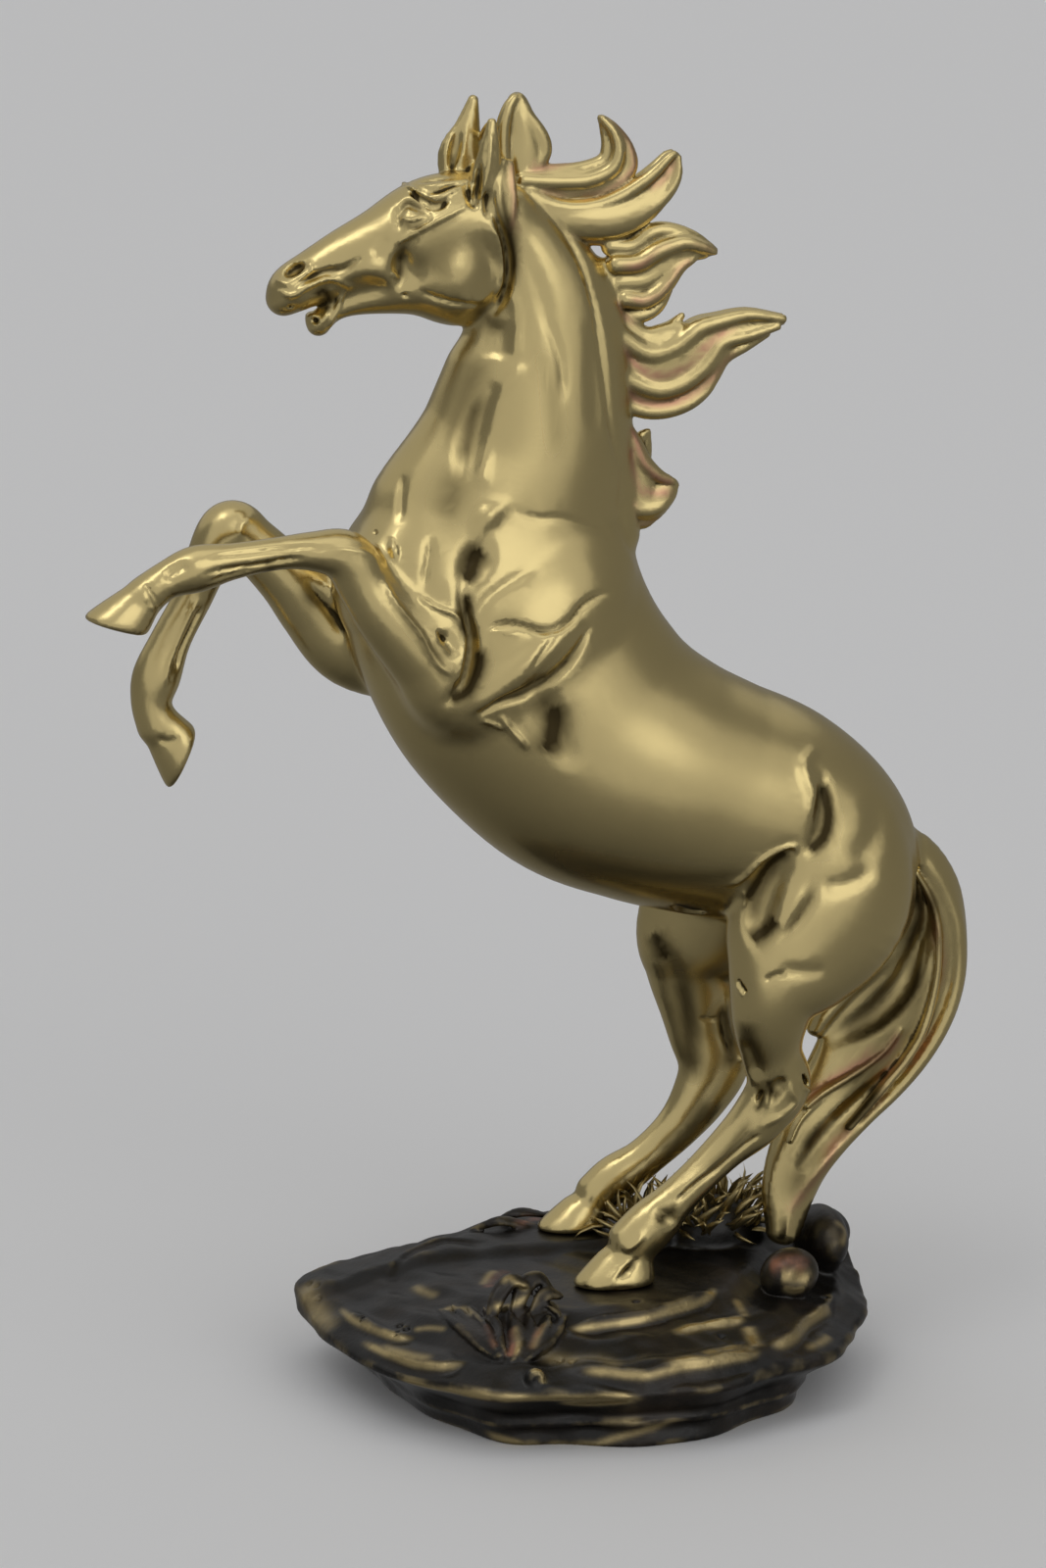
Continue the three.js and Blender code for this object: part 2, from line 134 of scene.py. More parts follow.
def turned(pitch: float, yaw: float = 0.0, roll: float = 0.0) -> np.ndarray:
    """Rows are a form's own along, across and deep directions.

    Args:
        pitch: Degrees that the long axis rises from +X.
        yaw: Degrees that it then turns about +Z.
        roll: Degrees that the form is first turned about its long axis.

    Returns:
        A 3 by 3 array of unit rows.
    """
    p, y, r = (math.radians(a) for a in (pitch, yaw, roll))
    along = np.array([math.cos(p), 0.0, math.sin(p)])
    across = np.array([0.0, 1.0, 0.0])
    deep = np.array([-math.sin(p), 0.0, math.cos(p)])
    rolled = (
        along,
        across * math.cos(r) + deep * math.sin(r),
        deep * math.cos(r) - across * math.sin(r),
    )
    spin = np.array(
        [[math.cos(y), -math.sin(y), 0], [math.sin(y), math.cos(y), 0], [0, 0, 1]]
    )
    return np.array([spin @ axis for axis in rolled])


@dataclass
class Clay:
    """A block of signed distances on an even grid, negative inside, in millimetres.

    Args:
        low: Lowest corner of the block.
        high: Highest corner.
        step: Spacing of the grid.
    """

    low: Point
    high: Point
    step: float
    values: np.ndarray = field(init=False, repr=False)

    def __post_init__(self) -> None:
        """Fills the block with air."""
        size = (np.array(self.high, float) - np.array(self.low, float)) / self.step
        self.low = np.array(self.low, float)
        self.values = np.full(np.ceil(size).astype(int) + 1, FAR, np.float32)

    def window(
        self, low: Point, high: Point
    ) -> tuple[tuple[slice, ...], list[np.ndarray]] | None:
        """Finds the part of the grid inside a box.

        Args:
            low: The box's lowest corner.
            high: Its highest corner.

        Returns:
            The slices of the grid and the coordinates along each axis, or None outside the block.
        """
        first = np.floor((np.array(low) - self.low) / self.step).astype(int)
        last = np.ceil((np.array(high) - self.low) / self.step).astype(int) + 1
        first = np.clip(first, 0, self.values.shape)
        last = np.clip(last, 0, self.values.shape)
        if (last <= first).any():
            return None
        axes = []
        for axis in range(3):
            line = self.low[axis] + self.step * np.arange(first[axis], last[axis])
            shape = [1, 1, 1]
            shape[axis] = -1
            axes.append(line.astype(np.float32).reshape(shape))
        return tuple(slice(a, b) for a, b in zip(first, last)), axes

    def press(self, form: "Form", fillet: float = 0.0, carve: bool = False) -> None:
        """Adds a form to the clay, or cuts it away.

        Args:
            form: Anything with a box and a distance.
            fillet: Size of the blend between the form and what is there.
            carve: Whether the form is taken out instead.
        """
        margin = fillet + 2 * self.step
        low, high = form.box(margin)
        found = self.window(low, high)
        if found is None:
            return
        where, axes = found
        made = form.distance(*axes, margin)
        now = self.values[where]
        if carve:
            self.values[where] = -blend_min(-now, made, fillet)
        else:
            self.values[where] = blend_min(now, made, fillet)

    def soften(self, rounds: int) -> None:
        """Rubs the clay smooth.

        Args:
            rounds: How often the grid is averaged with its neighbours.
        """
        v = self.values
        for _ in range(rounds):
            v[1:-1] = (v[:-2] + 2 * v[1:-1] + v[2:]) * 0.25
            v[:, 1:-1] = (v[:, :-2] + 2 * v[:, 1:-1] + v[:, 2:]) * 0.25
            v[:, :, 1:-1] = (v[:, :, :-2] + 2 * v[:, :, 1:-1] + v[:, :, 2:]) * 0.25

    def sample(self, points: np.ndarray) -> tuple[np.ndarray, np.ndarray]:
        """Reads the distance and its gradient at any points.

        Args:
            points: Rows of x, y, z inside the block.

        Returns:
            The distances, and rows of gradients.
        """
        at = (points - self.low) / self.step
        cell = np.clip(np.floor(at).astype(int), 0, np.array(self.values.shape) - 2)
        f = (at - cell).astype(np.float32)
        i, j, k = cell.T
        c = np.stack(
            [
                self.values[i + a, j + b, k + d]
                for a in (0, 1)
                for b in (0, 1)
                for d in (0, 1)
            ],
            -1,
        ).reshape(-1, 2, 2, 2)
        fx, fy, fz = f[:, 0, None, None], f[:, 1, None], f[:, 2]
        in_x = c[:, 0] * (1 - fx) + c[:, 1] * fx
        in_xy = in_x[:, 0] * (1 - fy) + in_x[:, 1] * fy
        value = in_xy[:, 0] * (1 - fz) + in_xy[:, 1] * fz
        slope_x = c[:, 1] - c[:, 0]
        slope_x = slope_x[:, 0] * (1 - fy) + slope_x[:, 1] * fy
        slope_x = slope_x[:, 0] * (1 - fz) + slope_x[:, 1] * fz
        slope_y = in_x[:, 1] - in_x[:, 0]
        slope_y = slope_y[:, 0] * (1 - fz) + slope_y[:, 1] * fz
        slope_z = in_xy[:, 1] - in_xy[:, 0]
        return value, np.stack([slope_x, slope_y, slope_z], -1) / self.step

    def skin(self) -> "Skin":
        """Wraps the clay in quads, one vertex for each grid cell that the surface crosses.

        Returns:
            The skin, its faces pointing outwards.
        """
        v = self.values
        inside = v < 0
        shape = np.array(v.shape) - 1
        count = np.zeros(shape, np.int8)
        for a in (0, 1):
            for b in (0, 1):
                for d in (0, 1):
                    count += inside[
                        a : shape[0] + a, b : shape[1] + b, d : shape[2] + d
                    ]
        active = np.flatnonzero((count > 0) & (count < 8))
        i, j, k = np.unravel_index(active, shape)
        corner = {
            (a, b, d): v[i + a, j + b, k + d]
            for a in (0, 1)
            for b in (0, 1)
            for d in (0, 1)
        }
        total = np.zeros((len(active), 3), np.float32)
        hits = np.zeros(len(active), np.float32)
        for start in corner:
            for axis in range(3):
                if start[axis]:
                    continue
                end = list(start)
                end[axis] = 1
                p, q = corner[start], corner[tuple(end)]
                crossed = (p < 0) != (q < 0)
                share = np.where(crossed, p / np.where(crossed, p - q, 1), 0)
                for n in range(3):
                    total[:, n] += np.where(
                        crossed, share if n == axis else start[n], 0
                    )
                hits += crossed
        points = (np.stack([i, j, k], -1) + total / hits[:, None]) * self.step
        points = points + self.low
        faces = []
        for axis in range(3):
            b, c = (axis + 1) % 3, (axis + 2) % 3
            near = [slice(1, None)] * 3
            far = [slice(1, None)] * 3
            near[axis] = slice(0, -1)
            for other in (b, c):
                near[other] = slice(1, -1)
                far[other] = slice(1, -1)
            here, there = inside[tuple(near)], inside[tuple(far)]
            for solid_first in (True, False):
                edge = (here & ~there) if solid_first else (~here & there)
                at = np.array(np.nonzero(edge))
                at[b] += 1
                at[c] += 1
                ring = []
                for db, dc in ((-1, -1), (0, -1), (0, 0), (-1, 0)):
                    cell = at.copy()
                    cell[b] += db
                    cell[c] += dc
                    ring.append(np.ravel_multi_index(tuple(cell), shape))
                quad = np.searchsorted(active, np.array(ring).T)
                faces.append(quad if solid_first else quad[:, ::-1])
        quads = np.concatenate(faces).astype(np.int32)
        for _ in range(2):
            value, slope = self.sample(points)
            length = np.maximum((slope * slope).sum(1), 0.05)
            move = -(value / length)[:, None] * slope
            points = points + np.clip(move, -0.4 * self.step, 0.4 * self.step)
        return Skin(points, quads)


class Form:
    """Something that can be pressed into clay."""

    def box(self, margin: float) -> tuple[np.ndarray, np.ndarray]:
        """Gives the form's box.

        Args:
            margin: Room added all round.

        Returns:
            Its lowest and highest corners.
        """
        raise NotImplementedError

    def distance(
        self, x: np.ndarray, y: np.ndarray, z: np.ndarray, margin: float
    ) -> np.ndarray:
        """Gives the signed distance to the form.

        Args:
            x: Coordinates along X, ready to broadcast.
            y: Coordinates along Y.
            z: Coordinates along Z.
            margin: How far out the distance has to be right.

        Returns:
            The distances.
        """
        raise NotImplementedError


def oval_distance(
    parts: Sequence[np.ndarray], radii: Sequence, swell: float | np.ndarray = 1.0
) -> np.ndarray:
    """Estimates the distance to an ellipse or ellipsoid.

    Args:
        parts: Coordinates along its axes.
        radii: Its half sizes along them.
        swell: Factor on its size, which may vary round it.

    Returns:
        The signed distances.
    """
    tiny = 1e-6
    k0 = tiny
    k1 = tiny / 9
    for p, r in zip(parts, radii):
        ratio = p / r
        k0 = k0 + ratio * ratio
        ratio = ratio / r
        k1 = k1 + ratio * ratio
    k0 = np.sqrt(k0)
    return k0 * (k0 - swell) / np.sqrt(k1)


@dataclass
class Bulge(Form):
    """A muscle, knuckle or stone: an ellipsoid.

    Args:
        centre: Its middle.
        sizes: Half sizes along, across and deep.
        pitch: Degrees that its long axis rises from +X.
        yaw: Degrees that it then turns about +Z.
        roll: Degrees about its long axis.
    """

    centre: Point
    sizes: Point
    pitch: float = 0.0
    yaw: float = 0.0
    roll: float = 0.0

    def box(self, margin: float) -> tuple[np.ndarray, np.ndarray]:
        """Gives the ellipsoid's box, grown by margin."""
        axes = turned(self.pitch, self.yaw, self.roll)
        reach = np.sqrt(((axes * np.array(self.sizes)[:, None]) ** 2).sum(0)) + margin
        return np.array(self.centre) - reach, np.array(self.centre) + reach

    def distance(
        self, x: np.ndarray, y: np.ndarray, z: np.ndarray, margin: float
    ) -> np.ndarray:
        """Gives the distance to the ellipsoid."""
        px, py, pz = (a - c for a, c in zip((x, y, z), self.centre))
        axes = turned(self.pitch, self.yaw, self.roll)
        parts = [px * a[0] + py * a[1] + pz * a[2] for a in axes]
        return oval_distance(parts, self.sizes)


@dataclass
class Tube(Form):
    """A limb, lock or muscle belly: oval sections along a smooth line.

    Args:
        stations: Rows of x, y, z, half width across the horse and half depth in its plane.
        spans: Samples between two stations.
        lobes: Flutes round the section, 0 for none.
        flute: Their depth as a share of the section.
        twist: Turns that the flutes make along the tube.
        fine: Depth share of the finer strands between the flutes.
        side: Direction that its width follows.
    """

    stations: Sequence[Station]
    spans: int = 3
    lobes: int = 0
    flute: float = 0.0
    twist: float = 0.0
    fine: float = 0.0
    side: Point = (0.0, 1.0, 0.0)

    def __post_init__(self) -> None:
        """Samples the line, its sections and their directions."""
        rows = curve_through(np.array(self.stations, float), self.spans)
        self.centres = rows[:, :3]
        self.radii = np.maximum(rows[:, 3:5], 0.15)
        along = np.gradient(self.centres, axis=0)
        along /= np.linalg.norm(along, axis=1)[:, None]
        side = np.array(self.side, float)
        across = side - along * (along @ side)[:, None]
        across /= np.linalg.norm(across, axis=1)[:, None]
        self.along, self.across = along, across
        self.deep = np.cross(along, across)

    def box(self, margin: float) -> tuple[np.ndarray, np.ndarray]:
        """Gives the tube's box, grown by margin."""
        reach = self.radii.max(1)[:, None] * (1 + self.flute) + margin
        return (self.centres - reach).min(0), (self.centres + reach).max(0)

    def distance(
        self, x: np.ndarray, y: np.ndarray, z: np.ndarray, margin: float
    ) -> np.ndarray:
        """Gives the distance to the nearest of the tube's spans."""
        shape = np.broadcast_shapes(x.shape, y.shape, z.shape)
        out = np.full(shape, FAR, np.float32)
        lines = [a.ravel() for a in (x, y, z)]
        for n in range(len(self.centres) - 1):
            a, b = self.centres[n], self.centres[n + 1]
            reach = self.radii[n : n + 2].max() * (1 + self.flute) + margin
            low, high = np.minimum(a, b) - reach, np.maximum(a, b) + reach
            where = []
            for axis in range(3):
                first = np.searchsorted(lines[axis], low[axis])
                last = np.searchsorted(lines[axis], high[axis])
                where.append(slice(first, last))
            near = [
                lines[0][where[0]][:, None, None],
                lines[1][where[1]][None, :, None],
                lines[2][where[2]][None, None, :],
            ]
            if min(part.size for part in near) == 0:
                continue
            made = self._span(n, near)
            out[tuple(where)] = np.minimum(out[tuple(where)], made)
        return out

    def _span(self, n: int, near: list[np.ndarray]) -> np.ndarray:
        """Gives the distance to one span.

        Args:
            n: The span's number.
            near: Coordinates along each axis.

        Returns:
            The distances.
        """
        a, b = self.centres[n], self.centres[n + 1]
        line = (b - a).astype(np.float32)
        p = [axis - np.float32(c) for axis, c in zip(near, a)]
        t = (p[0] * line[0] + p[1] * line[1] + p[2] * line[2]) / float(line @ line)
        t = np.clip(t, 0, 1)
        w = [p[i] - t * line[i] for i in range(3)]

        def mixed(rows: np.ndarray) -> np.ndarray:
            """Component of w along a direction that turns from one end to the other."""
            first = w[0] * rows[n][0] + w[1] * rows[n][1] + w[2] * rows[n][2]
            last = w[0] * rows[n + 1][0] + w[1] * rows[n + 1][1] + w[2] * rows[n + 1][2]
            return first + t * (last - first)

        u, v, s = mixed(self.across), mixed(self.deep), mixed(self.along)
        ru = self.radii[n, 0] + t * (self.radii[n + 1, 0] - self.radii[n, 0])
        rv = self.radii[n, 1] + t * (self.radii[n + 1, 1] - self.radii[n, 1])
        swell = 1.0
        if self.lobes:
            angle = np.arctan2(v / rv, u / ru)
            place = (n + t) / (len(self.centres) - 1)
            turn = 2 * np.pi * self.twist * place
            swell = 1 + self.flute * np.cos(self.lobes * angle + turn)
            if self.fine:
                swell = swell + self.fine * np.cos(
                    (2 * self.lobes + 1) * angle + 1.6 * turn + 1.3
                )
        return oval_distance((u, v, s), (ru, rv, np.minimum(ru, rv)), swell)


@dataclass
class Stroke:
    """A line drawn into the skin: a groove where depth is positive, a ridge where it is negative.

    Args:
        path: Points on the surface.
        depth: Depth at its middle.
        width: Half width at which it fades.
        taper: Share of its length over which each end fades out.
        held: Whether its points lie on this very skin, so that none is moved to a vertex.
    """

    path: Sequence[Point]
    depth: float = 0.5
    width: float = 0.9
    taper: float = 0.3
    held: bool = False


@dataclass
class Skin:
    """A mesh in millimetres, with one value per vertex for each of its masks.

    Args:
        points: Rows of x, y, z.
        quads: Rows of four vertex numbers.
    """

    points: np.ndarray
    quads: np.ndarray
    masks: dict[str, np.ndarray] = field(default_factory=dict)

    def normals(self) -> np.ndarray:
        """Area-weighted unit normals, one per vertex."""
        a, b, c, d = (self.points[self.quads[:, i]] for i in range(4))
        face = np.cross(c - a, d - b)
        out = np.zeros_like(self.points)
        for axis in range(3):
            weight = np.repeat(face[:, axis], 4)
            out[:, axis] = np.bincount(
                self.quads.ravel(), weight, minlength=len(self.points)
            )
        return out / np.maximum(np.linalg.norm(out, axis=1), 1e-9)[:, None]

    def averaged(self, values: np.ndarray, rounds: int) -> np.ndarray:
        """Spreads values over the mesh.

        Args:
            values: One value or row per vertex.
            rounds: How often each is averaged with its neighbours.

        Returns:
            The spread values.
        """
        flat = values.reshape(len(values), -1).astype(float)
        corners = self.quads.ravel()
        share = np.bincount(corners, minlength=len(flat))[:, None]
        share = np.maximum(share, 1)
        for _ in range(rounds):
            mean = flat[self.quads].mean(1)
            sums = [
                np.bincount(corners, np.repeat(mean[:, n], 4), minlength=len(flat))
                for n in range(flat.shape[1])
            ]
            flat = np.stack(sums, -1) / share
        return flat.reshape(values.shape)

    def along(
        self, stroke: Stroke, reach: float
    ) -> tuple[np.ndarray, np.ndarray, np.ndarray]:
        """Finds the vertices near a smooth line.

        Args:
            stroke: The line.
            reach: How far from it.

        Returns:
            The vertices, their squared distances and their places along it, 0 to 1.
        """
        order = self.masks.get("order")
        if order is None:
            order = np.argsort(self.points[:, 2], kind="stable")
            self.masks["order"] = order
        heights = self.points[order, 2]
        laid = np.array(stroke.path, float)
        for row in laid if not stroke.held else ():
            first, last = np.searchsorted(heights, [row[2] - 5, row[2] + 5])
            near = order[first:last]
            if len(near):
                gap = ((self.points[near] - row) ** 2).sum(1)
                if gap.min() < 30:
                    row[:] = self.points[near[gap.argmin()]]
        line = curve_through(laid, 5)
        first, last = np.searchsorted(
            heights, [line[:, 2].min() - reach, line[:, 2].max() + reach]
        )
        near = order[first:last]
        p = self.points[near]
        inside = (p > line.min(0) - reach).all(1) & (p < line.max(0) + reach).all(1)
        near = near[inside]
        p = self.points[near]
        best = np.full(len(p), 1e9)
        place = np.zeros(len(p))
        spans = np.diff(line, axis=0)
        lengths = np.linalg.norm(spans, axis=1)
        run = np.concatenate([[0], np.cumsum(lengths)])
        for n, span in enumerate(spans):
            w = p - line[n]
            t = np.clip((w @ span) / max(lengths[n] ** 2, 1e-9), 0, 1)
            gap = ((w - t[:, None] * span) ** 2).sum(1)
            closer = gap < best
            best = np.where(closer, gap, best)
            place = np.where(closer, run[n] + t * lengths[n], place)
        return near, best, place / run[-1]

    def draw(self, strokes: Sequence[Stroke]) -> None:
        """Draws strokes into the skin and notes them in the "drawn" mask.

        Args:
            strokes: The grooves and ridges.
        """
        normals = self.averaged(self.normals(), 2)
        depth = np.zeros(len(self.points))
        self.masks.pop("order", None)
        for stroke in strokes:
            near, gap, place = self.along(stroke, 2.6 * stroke.width)
            if not len(near):
                continue
            ends = 1.0
            if stroke.taper > 0:
                ends = smooth_step(0, stroke.taper, place) * smooth_step(
                    0, stroke.taper, 1 - place
                )
            depth[near] += stroke.depth * ends * np.exp(-gap / stroke.width**2)
        self.masks.pop("order", None)
        self.points = self.points - normals * depth[:, None]
        self.masks["drawn"] = self.masks.get("drawn", 0.0) + depth

    def paint(self, mask: str, strokes: Sequence[Stroke]) -> None:
        """Paints soft lines into a mask, each as strong as its stroke is deep.

        Args:
            mask: The mask's name.
            strokes: The lines.
        """
        level = self.masks.get(mask)
        if level is None:
            level = np.zeros(len(self.points))
        for stroke in strokes:
            near, gap, place = self.along(stroke, 2.2 * stroke.width)
            if not len(near):
                continue
            ends = 1.0
            if stroke.taper > 0:
                ends = smooth_step(0, stroke.taper, place) * smooth_step(
                    0, stroke.taper, 1 - place
                )
            made = stroke.depth * ends * np.exp(-gap / stroke.width**2)
            level[near] = np.maximum(level[near], made)
        self.masks.pop("order", None)
        self.masks[mask] = level

    def hollows(self, spread: int = 1, reach: int = 2) -> np.ndarray:
        """Measures how hollow the skin is: positive in creases, negative on edges.

        Args:
            spread: Rings over which the measure is evened out.
            reach: Rings of neighbours that a vertex is compared with.

        Returns:
            Depth under the neighbours in millimetres, one per vertex.
        """
        gap = self.averaged(self.points, reach) - self.points
        bend = (gap * self.normals()).sum(1)
        return self.averaged(bend, spread)

    def mesh(self, name: str) -> bpy.types.Object:
        """Makes a Blender object of the skin, in metres, with its masks as attributes.

        Args:
            name: The object's name.

        Returns:
            The object, linked to the scene.
        """
        data = bpy.data.meshes.new(name)
        data.vertices.add(len(self.points))
        data.vertices.foreach_set("co", (self.points * MM).astype(np.float32).ravel())
        data.loops.add(self.quads.size)
        data.loops.foreach_set("vertex_index", self.quads.ravel())
        data.polygons.add(len(self.quads))
        data.polygons.foreach_set(
            "loop_start", np.arange(0, self.quads.size, 4, dtype=np.int32)
        )
        data.update(calc_edges=True)
        for mask, values in self.masks.items():
            attribute = data.attributes.new(mask, "FLOAT", "POINT")
            attribute.data.foreach_set("value", values.astype(np.float32))
        data.validate()
        made = bpy.data.objects.new(name, data)
        bpy.context.scene.collection.objects.link(made)
        return made


def lightened(
    piece: bpy.types.Object, skin: Skin, faces: int
) -> bpy.types.Object:
    """Thins a mesh where it is plain, and gives it the dense skin's normals and masks.

    Args:
        piece: The dense mesh's object.
        skin: The skin that it was made of.
        faces: Triangles to keep.

    Returns:
        The same object with the thinned mesh.
    """
    dense = piece.data
    thin = piece.modifiers.new("thin", "DECIMATE")
    thin.ratio = min(1.0, faces / (2 * len(skin.quads)))
    graph = bpy.context.evaluated_depsgraph_get()
    data = bpy.data.meshes.new_from_object(piece.evaluated_get(graph))
    piece.modifiers.remove(thin)
    piece.data = data
    bpy.data.meshes.remove(dense)
    tree = KDTree(len(skin.points))
    for n, point in enumerate(skin.points * MM):
        tree.insert(point, n)
    tree.balance()
    near = np.array([tree.find(v.co)[1] for v in data.vertices])
    for mask, values in skin.masks.items():
        found = data.attributes.get(mask)
        if found is None:
            found = data.attributes.new(mask, "FLOAT", "POINT")
        found.data.foreach_set("value", values[near].astype(np.float32))
    data.shade_smooth()
    data.normals_split_custom_set_from_vertices(skin.normals()[near])
    LOG.info("%s thinned to %d faces", piece.name, len(data.polygons))
    return piece


def both_sides(rows: Sequence[Station], side: int) -> list[list[float]]:
    """Moves stations of the right half to either half.

    Args:
        rows: Stations with Y counted outwards from the middle plane.
        side: 1 for the horse's right half, -1 for its left.

    Returns:
        The stations on that half.
    """
    return [[row[0], side * row[1], *row[2:]] for row in rows]


class Wire:
    """A shader socket that arithmetic works on: each operator adds its Math node."""

    def __init__(self, finish: "Finish", socket: bpy.types.NodeSocket) -> None:
        """Wraps a socket.

        Args:
            finish: The material's builder.
            socket: An output socket.
        """
        self.finish = finish
        self.socket = socket

    def _maths(self, operation: str, *values: "Wire | float") -> "Wire":
        """Adds a Math node and wraps its result."""
        return self.finish.node(
            "ShaderNodeMath", {"operation": operation}, dict(enumerate(values))
        )

    def __add__(self, other: "Wire | float") -> "Wire":
        """Sum."""
        return self._maths("ADD", self, other)

    __radd__ = __add__

    def __sub__(self, other: "Wire | float") -> "Wire":
        """Difference."""
        return self._maths("SUBTRACT", self, other)

    def __rsub__(self, other: "Wire | float") -> "Wire":
        """Difference, the other way round."""
        return self._maths("SUBTRACT", other, self)

    def __mul__(self, other: "Wire | float") -> "Wire":
        """Product."""
        return self._maths("MULTIPLY", self, other)

    __rmul__ = __mul__

    def __pow__(self, other: "Wire | float") -> "Wire":
        """Power."""
        return self._maths("POWER", self, other)

    def clamped(self) -> "Wire":
        """The value kept between 0 and 1."""
        return self.finish.node(
            "ShaderNodeClamp", {}, {"Value": self, "Min": 0.0, "Max": 1.0}
        )

    def ramped(self, low: float, high: float) -> "Wire":
        """Rises smoothly from 0 at low to 1 at high.

        Args:
            low: Where the rise starts.
            high: Where it ends.

        Returns:
            The ramped value.
        """
        return self.finish.node(
            "ShaderNodeMapRange",
            {"interpolation_type": "SMOOTHSTEP"},
            {"Value": self, "From Min": low, "From Max": high},
        )


class Finish:
    """Builds one material with named nodes around a Principled shader."""

    def __init__(self, name: str) -> None:
        """Starts an empty material.

        Args:
            name: The material's name.
        """
        self.material = bpy.data.materials.new(name)
        self.material.use_nodes = True
        self.tree = self.material.node_tree
        self.tree.nodes.clear()
        self.output = self.tree.nodes.new("ShaderNodeOutputMaterial")

    def node(
        self,
        kind: str,
        settings: dict[str, object],
        values: dict[int | str, object],
        out: int | str = 0,
    ) -> Wire:
        """Adds any node.

        Args:
            kind: The node's type.
            settings: Its own settings, set first. "stops" fills a colour ramp.
            values: Values or wires for its input sockets, by name or number.
            out: The output socket to wrap.

        Returns:
            The wrapped output.
        """
        made = self.tree.nodes.new(kind)
        for key, value in settings.items():
            if key == "stops":
                ramp = made.color_ramp
                while len(ramp.elements) < len(value):
                    ramp.elements.new(0.5)
                for element, (place, colour) in zip(ramp.elements, value):
                    element.position = place
                    element.color = colour
            else:
                setattr(made, key, value)
        for key, value in values.items():
            if isinstance(value, Wire):
                self.tree.links.new(value.socket, made.inputs[key])
            else:
                made.inputs[key].default_value = value
        return Wire(self, made.outputs[out])

    def place(self, scale: Point = (1, 1, 1), turn: Point = (0, 0, 0)) -> Wire:
        """Object coordinates, stretched and turned about the origin.

        Args:
            scale: Factor along each axis.
            turn: Turn about each axis, in degrees.

        Returns:
            The coordinates.
        """
        at = self.node("ShaderNodeTexCoord", {}, {}, "Object")
        angles = tuple(math.radians(a) for a in turn)
        return self.node(
            "ShaderNodeMapping", {}, {"Vector": at, "Scale": scale, "Rotation": angles}
        )

    def noise(
        self, at: Wire, scale: float, detail: float = 3.0, rough: float = 0.5
    ) -> Wire:
        """Cloudy noise from 0 to 1.

        Args:
            at: Where it is read.
            scale: Its fineness, per metre.
            detail: Octaves.
            rough: Weight of the fine octaves.

        Returns:
            The value.
        """
        return self.node(
            "ShaderNodeTexNoise",
            {},
            {"Vector": at, "Scale": scale, "Detail": detail, "Roughness": rough},
        )

    def mask(self, name: str) -> Wire:
        """Reads one of the piece's attributes."""
        return self.node("ShaderNodeAttribute", {"attribute_name": name}, {}, "Fac")

    def mixed(self, factor: Wire | float, a: object, b: object) -> Wire:
        """Mixes two colours.

        Args:
            factor: Share of the second.
            a: First colour.
            b: Second colour.

        Returns:
            The mixed colour.
        """
        return self.node(
            "ShaderNodeMix",
            {"data_type": "RGBA"},
            {0: factor, 6: a, 7: b},
            2,
        )

    def bumps(self, height: Wire, distance: float, strength: float = 1.0) -> Wire:
        """Turns a height into a normal.

        Args:
            height: The height, 0 to 1.
            distance: What 1 stands for, in metres.
            strength: Share of the effect.

        Returns:
            The normal.
        """
        return self.node(
            "ShaderNodeBump",
            {},
            {"Height": height, "Distance": distance, "Strength": strength},
        )

    def close(self, values: dict[str, object]) -> bpy.types.Material:
        """Adds the Principled shader and finishes the material.

        Args:
            values: Values or wires for its sockets.

        Returns:
            The material.
        """
        shader = self.node("ShaderNodeBsdfPrincipled", {}, values)
        self.tree.links.new(shader.socket, self.output.inputs["Surface"])
        return self.material


Colour = tuple[float, float, float, float]


@dataclass(frozen=True)
class Gilding:
    """Satin gilding, with brown in its hollows and copper on the hair.

    Args:
        name: The material's name.
        gold: The gilding.
        shade: The dark brown of its creases: patina there, and painted shade.
        copper: The warm wash on mane, tail and crest.
        roughness: Of the plain gilding.
    """

    name: str = "satin_gilding"
    gold: Colour = (0.74, 0.595, 0.275, 1)
    shade: Colour = (0.042, 0.028, 0.008, 1)
    copper: Colour = (0.66, 0.33, 0.22, 1)
    roughness: float = 0.25

    def make(self) -> bpy.types.Material:
        """Builds the material."""
        f = Finish(self.name)
        at = f.place()
        cloud = f.noise(at, 38, 4, 0.6)
        brushed = f.noise(f.place((260, 260, 2600), (0, 28, 0)), 1.0, 3, 0.65)
        specks = f.noise(at, 900, 2)
        # Patina and painted shade: deep hollows and the painted shade lines of the shaded mask take the
        # shade colour.
        hollow = (f.mask("hollow") * 1.0).ramped(0.035, 0.16)
        patina_and_painted_shade = (hollow * (0.55 + 0.6 * cloud) + 1.1 * f.mask("shaded")).clamped()
        copper = (f.mask("copper") * cloud.ramped(0.34, 0.62)).clamped()
        duller = tuple(0.82 * level for level in self.gold[:3]) + (1,)
        colour = f.mixed(cloud.ramped(0.3, 0.75) * 0.35, self.gold, duller)
        colour = f.mixed(copper * 0.85, colour, self.copper)
        colour = f.mixed(patina_and_painted_shade * 0.97, colour, self.shade)
        rough = self.roughness + 0.1 * (cloud - 0.5) + 0.3 * patina_and_painted_shade + 0.1 * copper
        height = brushed * 0.6 + specks * 0.4
        return f.close(
            {
                "Base Color": colour,
                "Metallic": 1.0,
                "Roughness": rough,
                "Coat Weight": 0.1,
                "Coat Roughness": 0.22,
                "Normal": f.bumps(height, 0.00002, 0.5),
            }
        )


